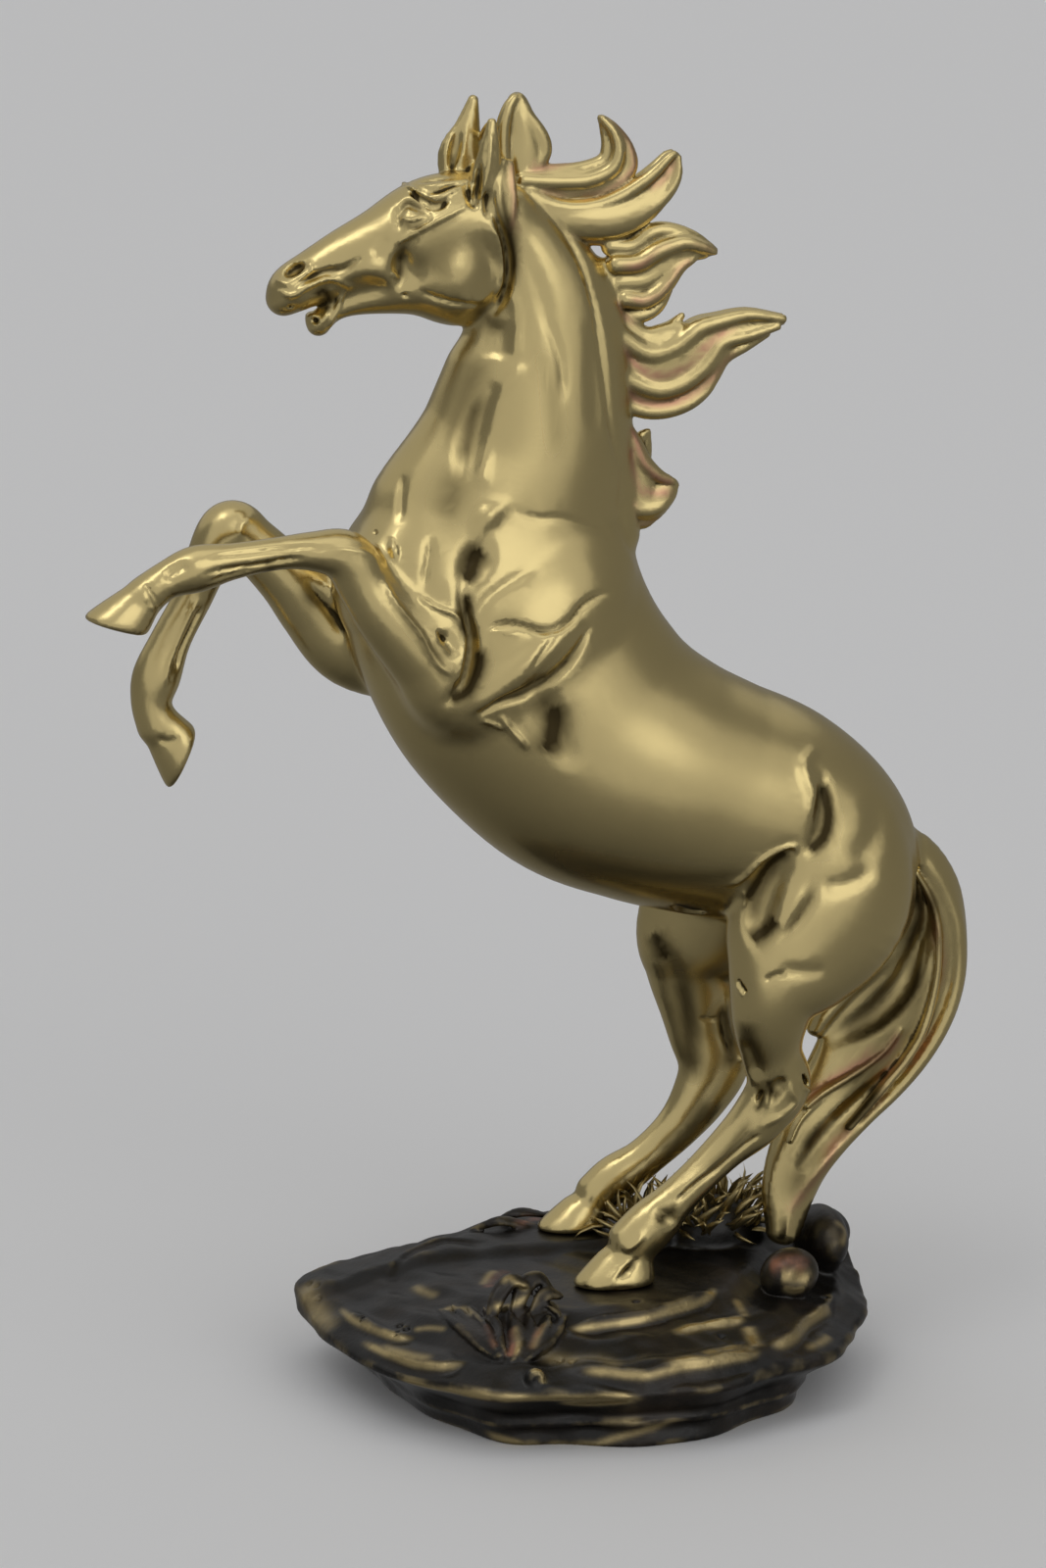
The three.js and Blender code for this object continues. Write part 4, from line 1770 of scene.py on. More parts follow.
# Features drawn on the photograph: lines and places in its pixels, sizes in millimetres
# Name, line, half width, height, half thickness, sides, fillet
RIDGES = [
    Ridge("facial crest", [(408, 246.5), (420.5, 238.5), (434.5, 230.5), (455, 220.5), (473.5, 211)], 1,
        0.8, 2, BOTH, 0.8),
    Ridge("cheek muscle before the jaw", [(352, 283), (368, 274), (384, 273), (397.5, 281), (407, 297)],
        3, 1.1, 3.6, BOTH, 1.2),
    Ridge("upper lip fold", [(285.5, 298), (298, 301.5), (313, 292.5), (329, 285.5), (342.5, 285),
        (356.5, 292.5)], 0.9, 0.8, 1.6, BOTH, 0.6),
    Ridge("brow ridge 1", [(415, 189.5), (424, 195), (434.5, 205)], 0.6, 0.8, 1.4, BOTH, 0.4),
    Ridge("brow ridge 2", [(428.5, 189.5), (441.5, 190.5), (455, 188.5), (474.5, 184.5)], 0.9, 0.8, 1.6,
        BOTH, 0.4),
    Ridge("brow ridge 3", [(438, 200.5), (450.5, 200), (462, 194.5), (473.5, 189.5)], 0.7, 0.7, 1.4, BOTH,
        0.4),
    Ridge("mouth corner 1", [(337, 294.5), (337, 309.5), (332.5, 323.5), (325.5, 331.5)], 0.9, 0.6, 1.5,
        BOTH, 0.4),
    Ridge("mouth corner 2", [(350.5, 297), (346, 312), (339, 325.5), (336, 335)], 0.9, 0.6, 1.5, BOTH,
        0.4),
    Ridge("lower lip", [(331, 329), (323, 324), (316.5, 324), (315, 330.5)], 0.8, 0.5, 1.4, BOTH, 0.4),
    Ridge("fold by the mouth", [(392, 279.5), (400, 279.5), (407, 284.5)], 0.9, 0.6, 1.4, BOTH, 0.4),
    Ridge("jugular ridge", [(516, 299), (525, 306), (528, 321), (527.5, 339.5), (526.5, 359)], 0.9, 0.7,
        2, BOTH, 1, tapered=False),
    Ridge("jugular ridge low", [(527.5, 376.5), (520.5, 390), (508.5, 403.5), (500.5, 426.5), (495, 457),
        (492, 491.5)], 1, 0.8, 2.2, BOTH, 1.2, tapered=False),
    Ridge("point of the shoulder", [(487, 543), (498.5, 528), (514, 516.5)], 3, 1.6, 4, BOTH, 1.5),
    Ridge("triceps", [(586.5, 639), (563.5, 657), (539, 678), (516, 696), (495, 712.5), (483.5, 722)],
        4.2, 1.8, 5, BOTH, 1.5),
    Ridge("knob at the breast", [(400, 551), (402.5, 562.5), (404.5, 572)], 1.3, 1, 1.6, HERE, 0.5),
    Ridge("point of the hip", [(828, 768), (820, 782), (824.5, 798), (830, 814), (826.5, 829)], 1.6, 0.9,
        3, BOTH, 1.2),
    Ridge("near ear rim", [(489.5, 208.5), (494.5, 188), (499, 167), (500.5, 142), (498, 122.5)], 0.6,
        0.5, 1, HERE, 0.3),
    Ridge("near ear front rim", [(481.5, 208.5), (481, 188), (484, 167), (490.5, 142), (496.5, 123.5)],
        0.6, 0.5, 1, HERE, 0.3),
    Ridge("eyeball", [(413.5, 216), (418.5, 214), (423.5, 214.5)], 0.9, 0.2, 1.4, BOTH, 0.3),
    Ridge("upper lid", [(408, 217.5), (413.5, 208.5), (420.5, 205), (428.5, 208.5), (435.5, 216)], 0.55,
        0.75, 1.2, BOTH, 0.3),
    Ridge("lower lid", [(409, 222), (417.5, 224.5), (425.5, 223), (435.5, 217.5)], 0.5, 0.6, 1.1, BOTH,
        0.3),
    Ridge("cheek plate", [(496.5, 227), (504, 245.5), (506, 263.5), (504, 282), (497.5, 298),
        (487.5, 307.5), (473.5, 306)], 1.4, 0.5, 2.2, BOTH, 1, tapered=False),
]
# Name, line, half widths, depths, sides, fillet
VALLEYS = [
    Valley("shoulder hollow", [(496.5, 556.5), (487, 567), (478.5, 581.5), (473, 598.5)],
        (2.6, 3.8, 3.2, 1.8), (1.3, 2.1, 1.9, 1.2), BOTH, 2.2),
    Valley("shoulder groove", [(473, 595), (472, 610), (475.5, 627.5), (479.5, 644.5), (480.5, 661.5),
        (478, 681), (472, 698), (462.5, 711.5), (453.5, 719)], (1.6, 1.3, 1.5, 1.7, 1.5, 1.2),
        (2, 2, 2.4, 2.6, 2, 1.4), BOTH, 1),
    Valley("triceps edge", [(600, 642.5), (591.5, 660), (577, 679), (558, 696), (533, 708.5), (510, 717),
        (491, 728)], (1.2, 1.6, 1.6, 1.3), (0.8, 1.2, 1.2, 0.8), BOTH, 0.8),
    Valley("girth hollow", [(548.5, 700), (558, 721), (568.5, 744), (581, 771)], (3, 4.6, 4.6, 3.4),
        (0.7, 1.1, 1.1, 0.6), BOTH, 3),
    Valley("hip hollow", [(839.5, 790), (842, 810.5), (839, 833.5), (832.5, 854), (823, 870)],
        (1.5, 2.3, 2.4, 1.8), (0.9, 1.5, 1.4, 0.9), BOTH, 1.2),
    Valley("flank hollow", [(807, 868), (792, 888.5), (778.5, 911.5), (770.5, 937), (771.5, 957.5)],
        (2.4, 3.8, 4.2, 3), (1.8, 2.8, 2.6, 1.4), BOTH, 2.2),
    Valley("under the thigh crest", [(833.5, 897.5), (824.5, 920.5), (811.5, 941.5), (794.5, 959.5)],
        (1, 1.4, 1.4), (0.9, 1.3, 1.3), BOTH, 1),
    Valley("before the cheek", [(407, 293.5), (409.5, 275), (411.5, 259), (418.5, 245.5)],
        (1.2, 2, 1.8, 1.2), (0.8, 1.4, 1.2, 0.6), BOTH, 1.6),
    Valley("nose groove", [(299, 290), (315, 283), (331, 277), (349.5, 274), (365.5, 263.5)],
        (0.7, 0.9, 0.9, 0.7), (0.7, 0.9, 0.8, 0.5), BOTH, 0.8),
    Valley("throat latch", [(504, 217.5), (513, 238.5), (518, 261.5), (518, 284.5), (511.5, 305),
        (503.5, 319)], (0.9, 1.2, 1.2, 1), (1, 1.6, 1.6, 1.2), BOTH, 0.9),
    Valley("eye socket", [(407, 220), (414.5, 207.5), (427.5, 212), (437, 217.5)], (0.9, 1.2, 1),
        (0.8, 1.1, 0.8), BOTH, 0.8),
    Valley("under the brow", [(420.5, 195), (432, 203), (443.5, 208.5), (456.5, 205)], (0.6, 0.8, 0.6),
        (0.8, 1.1, 0.8), BOTH, 0.5),
    Valley("throat hollow", [(498.5, 397.5), (486, 420.5), (477.5, 449.5), (473.5, 482)],
        (2.2, 3, 3.2, 2.4), (0.8, 1.3, 1.3, 0.8), BOTH, 2.5),
    Valley("far stifle hole", [(689, 925.5), (700.5, 931), (716.5, 931)], (1.2, 1.7, 1.2),
        (1.2, 1.8, 1.2), HERE, 0.6),
    Valley("hoof hollow", [(650, 1285.5), (640, 1295.5), (630, 1305)], (0.8, 1.2, 0.8), (0.6, 0.9, 0.5),
        HERE, 0.6),
]
# Painted shade, with patina, in the dark places of the gilding: name, line, level, half width, sides, taper
SHADES = [
    Line("shoulder hollow", [(492, 559), (485, 570), (480, 583), (474, 593)], 1, 3, BOTH, 0.12),
    Line("shoulder groove", [(474, 604), (474, 620), (479, 638), (483, 655)], 1, 1.5, BOTH, 0.1),
    Line("elbow hollow", [(484, 660), (489, 674), (484, 690), (475, 704), (457, 716)], 1, 2, BOTH, 0.1),
    Line("triceps edge", [(584, 668), (562, 690), (535, 703), (508, 716), (486, 730)], 0.7, 0.8, BOTH),
    Line("girth hollow", [(563, 716), (566, 735), (563, 755), (558, 775)], 1, 3.6, BOTH, 0.2),
    Line("hip hollow", [(838, 797), (843, 816), (844, 838), (837, 856), (822, 870)], 1, 2.1, BOTH, 0.12),
    Line("flank hollow", [(806, 870), (791, 886), (776, 904), (760, 924)], 1, 2.1, BOTH, 0.12),
    Line("stifle hollow", [(792, 936), (778, 946), (764, 960)], 1, 2.6, BOTH, 0.12),
    Line("far stifle hole", [(690, 922), (704, 927), (718, 929)], 1, 1.8, HERE, 0.1),
    Line("far stifle hollow", [(666, 952), (674, 966), (680, 982)], 0.9, 2.6, HERE, 0.12),
    # Painted dark reflection along the belly
    Line("belly fold", [(560, 868), (600, 882), (660, 893), (710, 896), (748, 893), (782, 874)], 0.6, 2.6,
        HERE, 0.25),
    Line("cheek", [(436, 282), (446, 268), (458, 258), (472, 262)], 0.45, 5, BOTH, 0.3),
    Line("behind the jaw", [(512, 192), (516, 215), (521, 245), (520, 275), (514, 300)], 0.9, 1.5, BOTH),
    Line("under the jaw", [(486, 312), (499, 325), (510, 345)], 0.6, 2.6, BOTH),
    Line("under the eye", [(409, 222), (418, 232), (430, 234), (440, 228)], 0.6, 1, BOTH),
    Line("mouth", [(322, 303), (330, 298), (336, 304), (330, 318)], 0.9, 1.2, BOTH, 0.1),
    Line("front of the neck", [(500, 348), (482, 385), (466, 425), (452, 470)], 0.5, 3.4, BOTH),
    Line("side of the neck", [(545, 345), (560, 385), (566, 430), (566, 480)], 0.3, 2.4, BOTH),
    Line("before the shoulder", [(470, 470), (462, 505), (448, 535)], 0.5, 3.4, BOTH),
    Line("tail beside the thigh", [(930, 886), (939, 915), (941, 950), (934, 985)], 0.9, 2.4, HERE),
    Line("tail's inner side", [(925, 985), (905, 1020), (875, 1048), (840, 1068)], 0.7, 5, HERE),
    Line("tail's broad side", [(930, 1030), (905, 1065), (880, 1095), (850, 1125)], 0.55, 4.5, HERE),
    Line("tail's foot", [(850, 1130), (835, 1165), (815, 1200), (800, 1235)], 0.6, 3.6, HERE),
    Line("gaskin", [(760, 1040), (766, 1068), (775, 1095)], 0.8, 2.8, BOTH, 0.2),
    Line("hock", [(784, 1100), (790, 1112), (796, 1120)], 0.9, 1.6, BOTH, 0.2),
    Line("before the hock", [(776, 1108), (777, 1122), (772, 1136)], 0.9, 1, BOTH, 0.2),
    Line("far gaskin", [(690, 990), (700, 1030), (704, 1075), (712, 1110)], 0.75, 3, HERE, 0.2),
    Line("far hock's back", [(735, 1020), (742, 1060), (746, 1095)], 0.8, 2.4, HERE, 0.2),
    Line("far cannon", [(728, 1120), (700, 1155), (672, 1185)], 0.6, 2, HERE, 0.2),
    Line("fetlock", [(668, 1251), (679, 1241), (694, 1228)], 0.9, 1.5, BOTH, 0.2),
    Line("cannon's groove", [(770, 1140), (745, 1170), (715, 1200)], 0.6, 1, BOTH, 0.2),
    Line("near forearm's foot", [(395, 600), (430, 650), (465, 690)], 0.55, 1.4, HERE),
    Line("far forearm", [(300, 570), (318, 610), (340, 650)], 0.7, 2.4, HERE),
    Line("far forearm's hollow", [(262, 545), (275, 580), (282, 620)], 0.6, 1.6, HERE),
]
# Name, place, half sizes, pitch, sides, inset, fillet
PITS = [
    Pit("nostril", (300.5, 275.5), (2.7, 2.4, 1.25), 29, BOTH, 0, 0.4),
    Pit("lip dot", (296.5, 313.5), (0.5, 0.8, 0.5), 0, BOTH, 0, 0.4),
    Pit("cheek dot", (413.5, 301.5), (0.8, 0.8, 0.45), -20, BOTH, 0, 0.4),
    Pit("lower lip hollow", (321.5, 327), (0.8, 1, 0.7), 0, BOTH, 0, 0.4),
    Pit("chin hollow", (339, 337.5), (0.9, 0.9, 0.6), 30, BOTH, 0, 0.4),
    Pit("casting pit", (383, 544), (0.5, 0.8, 0.5), 0, HERE, 0, 0.4),
    Pit("near ear", (487.5, 188), (5, 1.5, 0.8), 84, HERE, -0.2, 0.3),
    Pit("far ear", (465, 146.5), (6, 1.6, 1.5), 79, HERE, -0.2, 0.4),
    Pit("hock hollow", (791, 1113), (3.4, 1.6, 1.8), 62, HERE, -0.4, 1.2),
    Pit("hock slit", (775, 1119.5), (1.8, 1.2, 0.7), 70, HERE, 0, 0.5),
    Pit("tendon slit", (822, 1103.5), (2.2, 1.8, 0.6), -60, HERE, 0.3, 0.4),
    Pit("fetlock hollow", (679, 1241), (3.6, 1.4, 1.5), -40, HERE, -0.5, 1.2),
]
# Name, line, depth, half width, sides, taper
LINES = [
    Line("rim of the cheek", [(497.5, 227), (507, 243), (512, 261.5), (511.5, 284.5), (504, 307.5)], -0.5,
        0.5, BOTH, 0.2),
    Line("under the cheek", [(501, 312), (478, 309.5), (455, 307), (434.5, 300), (420.5, 292.5)], 0.6,
        0.8, BOTH),
    Line("nose plane", [(397.5, 240.5), (388.5, 250), (379.5, 261.5)], 0.4, 1.2, BOTH),
    Line("rim of the nostril", [(282.5, 282), (285.5, 288.5), (298, 290.5), (309.5, 284.5), (316.5, 275),
        (315, 265)], -0.5, 0.6, BOTH, 0.15),
    Line("over the eye", [(418.5, 193), (427.5, 202), (437, 210), (448, 209), (458, 202)], 1, 0.6, BOTH,
        0.2),
    Line("brow fold 1", [(433.5, 195.5), (448, 195), (462, 190), (473.5, 187)], 0.5, 0.5, BOTH),
    Line("brow fold 2", [(425.5, 186), (441.5, 184), (457.5, 181)], 0.4, 0.5, BOTH),
    Line("before the eye", [(404, 208.5), (405, 222.5), (407.5, 238.5)], 0.6, 0.9, BOTH),
    Line("under the eye", [(418.5, 236), (430, 230.5), (443.5, 222.5)], 0.5, 0.8, BOTH),
    Line("ear base 1", [(476, 188), (480, 204), (489.5, 216.5)], 0.8, 0.8, BOTH),
    Line("ear base 2", [(499, 190), (496.5, 208.5), (499, 227)], 0.7, 0.8, BOTH),
    Line("cheek hollow", [(407, 254.5), (416, 275), (430, 293.5)], 0.8, 2.4, BOTH),
    Line("throat hollow", [(508, 323.5), (508, 344), (503.5, 369.5)], 1, 3, BOTH),
    Line("neck band 1", [(524, 238.5), (535.5, 261.5), (547, 286.5), (556, 312), (560.5, 344)], 0.4, 2,
        BOTH),
    Line("neck band 2", [(552, 312.5), (563, 340.5), (572, 371), (576.5, 417)], 0.4, 1.2, BOTH),
    Line("neck band 3", [(601, 312.5), (605.5, 355.5), (607, 404.5), (610, 456.5)], 0.5, 2.2, BOTH),
    Line("crest line", [(543, 202.5), (566, 224), (584, 251.5), (599.5, 288), (609.5, 331), (616.5, 380),
        (622.5, 432), (631.5, 484)], 0.6, 1.1, BOTH, 0.15),
    Line("flap rim", [(418.5, 604.5), (437.5, 616), (452.5, 622), (462.5, 626), (472, 635.5),
        (478, 648.5), (478.5, 663.5), (475.5, 679), (472.5, 692.5), (469, 704)], -0.6, 0.6, BOTH, 0.15),
    Line("forearm ridge", [(388.5, 587), (401, 610), (414.5, 629), (429.5, 648.5), (439.5, 663.5),
        (449, 679), (462.5, 690.5), (471.5, 694.5)], -0.6, 0.7, HERE, 0.15),
    Line("leaf hollow", [(450, 644.5), (460.5, 658), (470, 673)], 1, 1.7, HERE),
    Line("leaf nick", [(446, 641.5), (451, 648.5), (455.5, 656)], 0.8, 0.6, HERE),
    Line("crease 1", [(489, 653), (502.5, 639.5), (517.5, 636.5), (533, 638.5), (552, 643.5),
        (569.5, 641.5), (583, 631), (596, 616), (609.5, 608), (628.5, 605.5)], 0.8, 0.9, BOTH, 0.2),
    Line("crease 1 lip", [(495, 648.5), (504.5, 645), (517.5, 647), (533, 648.5)], -0.3, 0.6, BOTH),
    Line("crease 2", [(571.5, 642.5), (558, 660), (544.5, 675), (536, 689.5)], 0.5, 0.8, BOTH),
    Line("crease 4", [(487, 648.5), (487, 633), (493, 617.5), (502.5, 606.5), (517.5, 595), (533, 587),
        (552, 575.5)], 0.5, 1.3, BOTH),
    Line("neck base crease", [(514, 511.5), (529, 521), (548.5, 528), (571.5, 530), (594.5, 534.5),
        (615.5, 541), (634.5, 556.5)], 0.35, 1, BOTH, 0.25),
    Line("wedge fold 1", [(489, 733.5), (502.5, 739), (516, 746.5)], -0.5, 0.6, BOTH),
    Line("wedge fold 2", [(508, 727), (520.5, 743), (532, 755.5), (540.5, 767)], -0.9, 0.8, BOTH),
    Line("breast fold 1", [(441, 545), (437.5, 566), (434.5, 587), (434, 604.5)], 0.7, 1.1, BOTH),
    Line("breast fold 2", [(411.5, 480), (409.5, 508.5), (408.5, 537.5)], 0.5, 1, BOTH),
    Line("cannon groove 1", [(204.5, 571), (234.5, 565), (262, 562), (289.5, 559), (317, 558),
        (344, 561)], 0.5, 0.6, HERE),
    Line("cannon groove 2", [(201.5, 588.5), (223.5, 582.5), (248.5, 579), (273, 574.5), (295, 571),
        (319.5, 568.5)], 0.8, 0.6, HERE),
    Line("cannon groove 3", [(207, 596.5), (226.5, 589), (248.5, 583.5), (267.5, 580)], 0.4, 0.5, HERE),
    Line("pastern hollow", [(164.5, 593), (178.5, 582.5), (195, 574.5)], 0.8, 1.3, HERE),
    Line("hoof band 1", [(142, 601), (148, 610), (155, 620.5), (162.5, 633)], -0.4, 0.5, HERE, 0.1),
    Line("hoof band 2", [(147.5, 595.5), (156.5, 608.5), (164.5, 623.5)], 0.5, 0.5, HERE, 0.1),
    Line("knee edge", [(333.5, 559), (360.5, 561), (380, 568.5), (390.5, 583.5)], -0.4, 0.8, HERE),
    Line("far tendon", [(204.5, 608.5), (192, 631.5), (179.5, 656.5), (172, 678.5), (168, 703)], -0.6,
        0.5, HERE, 0.15),
    Line("far tendon slot", [(208.5, 615), (195.5, 640), (185, 664.5), (179, 689)], 0.9, 0.6, HERE, 0.2),
    Line("far forearm fold 1", [(308.5, 588), (325, 607), (341.5, 631.5), (355, 659)], 1, 1.1, HERE),
    Line("far forearm fold 2", [(318, 587), (334.5, 598.5), (347, 612.5)], -0.5, 0.7, HERE),
    Line("far knee ridge", [(245.5, 552), (246, 535.5), (259, 526)], -0.4, 0.8, HERE),
    Line("far coronet", [(159, 751), (171.5, 757), (185, 753.5)], 0.5, 0.8, HERE),
    Line("flank fold", [(815, 875), (809.5, 863.5), (792, 868), (776, 879.5), (757.5, 895.5),
        (739.5, 906)], -0.8, 0.7, BOTH, 0.15),
    Line("flank nerve", [(757.5, 907), (759, 918.5), (757.5, 929.5)], -0.6, 0.5, BOTH),
    Line("thigh crease", [(834.5, 895.5), (852, 903.5), (875, 897.5), (898, 883)], 0.7, 2.2, BOTH),
    Line("thigh back", [(893, 806), (896.5, 840.5), (884, 868), (863.5, 886.5)], 0.7, 3.4, BOTH),
    Line("stifle crease 1", [(778, 1004), (790, 997), (803.5, 994)], 0.6, 0.8, HERE),
    Line("stifle crease 2", [(787.5, 986), (815, 992), (847.5, 989.5)], 0.5, 1.8, HERE),
    Line("oval mark", [(752.5, 1000.5), (757.5, 1008.5), (762, 1014.5)], 0.8, 0.6, HERE, 0.15),
    Line("oval mark rim", [(748.5, 996.5), (752, 1009), (760, 1016.5)], -0.3, 0.4, HERE, 0.15),
    Line("gaskin valley", [(757.5, 1058.5), (767, 1081.5), (772.5, 1104.5)], 1.2, 1.9, HERE),
    Line("far gaskin valley", [(673, 955), (683, 980.5), (693.5, 1015), (704, 1058.5), (712, 1093)], 0.7,
        2.4, HERE),
    Line("far tendon line", [(739.5, 989.5), (740, 1035.5), (745, 1058.5), (755.5, 1081.5),
        (762.5, 1097)], -0.6, 0.8, HERE),
    Line("far tendon groove", [(734.5, 1024), (738, 1054), (747.5, 1081.5)], 0.6, 0.7, HERE),
    Line("far shin step", [(712, 1039), (723.5, 1039.5), (736, 1038)], 0.4, 0.5, HERE),
    Line("hock ridge 1", [(786.5, 1106.5), (783, 1117.5), (780.5, 1132)], -0.6, 0.5, HERE),
    Line("hock ridge 2", [(805, 1099.5), (809.5, 1114.5), (812, 1124.5), (801, 1136), (785.5, 1145),
        (771.5, 1154)], -0.6, 0.9, HERE),
    Line("hock tendon", [(813.5, 1085.5), (816, 1099.5), (824, 1113), (831.5, 1117.5)], -0.5, 0.5, HERE),
    Line("hind cannon groove", [(779.5, 1155.5), (757.5, 1171), (734, 1191), (712, 1206.5),
        (696.5, 1218.5), (688, 1228.5)], 0.6, 0.5, HERE, 0.12),
    Line("hind cannon ridge", [(769.5, 1143), (751.5, 1163), (728, 1185), (704, 1204.5), (684.5, 1224.5)],
        -0.4, 0.9, HERE, 0.15),
    Line("coronet ridge", [(658.5, 1257.5), (649, 1268), (634, 1278.5)], -0.5, 0.8, HERE),
    Line("hoof ridge", [(649, 1283.5), (630, 1299.5), (615, 1317)], -0.4, 1.1, HERE),
    Line("sole line", [(615, 1320.5), (639, 1315), (671, 1307)], 0.4, 0.4, HERE),
]
# Name, line, distance from the middle plane, half thickness at the root and at the tip
STRANDS = [
    Strand("forelock 1", [(513.5, 165), (512.5, 146.5), (513.5, 128), (518.5, 110), (525, 99)], -1.5, 1.7,
        1),
    Strand("forelock 2", [(533, 169.5), (534.5, 146.5), (531, 123.5), (527.5, 105.5), (526.5, 99)], 0.5,
        3.4, 1.2),
    Strand("forelock 3", [(548, 170.5), (555.5, 153.5), (551.5, 137.5), (539, 118), (529.5, 98.5)], -1,
        1.7, 1),
    Strand("first lock 1", [(533.5, 175), (561, 174.5), (592, 172), (615, 163.5), (619, 149),
        (616.5, 135), (612.5, 120)], -1, 1.6, 0.7),
    Strand("first lock 2", [(533.5, 184), (570.5, 185.5), (601, 183.5), (624, 172), (631, 153.5),
        (626, 135), (614, 120.5)], -2.6, 1.9, 0.7),
    Strand("first lock 3", [(540, 193.5), (576.5, 197), (610, 194), (634.5, 182.5), (643.5, 167.5),
        (639.5, 149), (627, 130.5), (614.5, 120)], -1.6, 1.8, 0.7),
    Strand("second lock 1", [(540, 198), (570.5, 211), (604, 211), (631.5, 201), (656, 185.5),
        (671.5, 172), (683, 160), (689, 156.5)], -3.2, 1.8, 0.7),
    Strand("second lock 2", [(549, 208.5), (579.5, 223.5), (613.5, 221.5), (644, 208.5), (668.5, 190),
        (683, 173.5), (690, 158)], -2, 2.1, 0.8),
    Strand("second lock 3", [(561, 219.5), (592, 234.5), (622.5, 233), (653, 219.5), (677.5, 201),
        (690.5, 181), (692.5, 160)], -3, 1.9, 0.7),
    Strand("second lock 4", [(576.5, 233), (604, 242.5), (631.5, 240), (659, 226.5)], -1.6, 1.8, 0.9),
    Strand("third lock 1", [(622.5, 251.5), (644, 251.5), (664, 237.5), (683.5, 235.5), (708, 242.5),
        (729, 256)], -1.5, 2.2, 0.9),
    Strand("third lock 2", [(628.5, 270), (650, 268.5), (671.5, 256), (696, 248), (714.5, 251.5),
        (729.5, 257.5)], -3, 2.3, 0.8),
    Strand("third lock 3", [(631.5, 288), (656, 286.5), (679, 273), (699, 260), (719, 260.5)], -2, 2.2,
        0.8),
    Strand("third lock 4", [(638, 305), (659, 306), (677.5, 292), (693, 273), (708, 264.5)], -3, 2.1,
        0.8),
    Strand("third lock 5", [(641, 320.5), (656, 321.5), (671.5, 312.5), (683.5, 294.5)], -1.4, 1.7, 0.8),
    Strand("fourth lock 1", [(613.5, 306.5), (634.5, 326.5), (659, 343.5), (680.5, 335.5), (696, 321.5)],
        -1.5, 2.3, 0.8),
    Strand("fourth lock 2", [(613.5, 325), (634.5, 345), (662.5, 361), (690, 352.5), (711.5, 335.5),
        (732.5, 328.5), (763.5, 321.5), (799.5, 325.5)], -3, 2.6, 1),
    Strand("fourth lock 3", [(616.5, 346.5), (638, 366.5), (665.5, 380.5), (693, 373.5), (714.5, 355.5),
        (734, 340.5), (763.5, 333.5), (797.5, 327.5)], -2, 2.5, 0.9),
    Strand("fourth lock 4", [(618, 368), (641, 387.5), (671.5, 398), (699, 389), (720.5, 371),
        (736.5, 350), (763.5, 342.5), (794, 333)], -3.2, 2.4, 0.9),
    Strand("fourth lock 5", [(622.5, 389), (647, 404), (674.5, 411.5), (702, 403.5), (723.5, 386),
        (738, 365), (760.5, 353), (783, 340.5)], -2, 2.2, 0.8),
    Strand("fourth lock 6", [(631.5, 407.5), (653, 418.5), (677.5, 419.5), (702, 412), (720.5, 398.5),
        (732, 381.5)], -3, 1.8, 0.8),
    Strand("last lock 1", [(631.5, 432), (645.5, 452), (656, 472), (671.5, 485.5), (687.5, 492)], -3, 2.2,
        0.9),
    Strand("last lock 2", [(647, 458), (653, 446), (661.5, 439)], -1.5, 1.3, 0.6),
    Strand("last lock 3", [(627, 450.5), (634.5, 478), (650, 498), (668.5, 504), (684.5, 500)], -2, 2.4,
        0.9),
    Strand("last lock 4", [(628.5, 478), (638, 507), (653, 519.5), (671.5, 517), (683, 506)], -3.2, 2.3,
        0.9),
    Strand("last lock 5", [(634.5, 508.5), (644, 525.5), (656, 532.5), (671.5, 524)], -2, 1.9, 0.9),
    Strand("cheek strand 1", [(512.5, 165), (509, 183.5), (509, 204), (513.5, 227), (516.5, 240.5)],
        (-6.5, -8, -8.8, -9, -9), 1.1, 0.4),
    Strand("cheek strand 2", [(519.5, 167), (521.5, 185.5), (523, 208.5), (520, 229), (517, 241)],
        (-6, -7.6, -8.4, -8.8, -9), 1.1, 0.4),
]
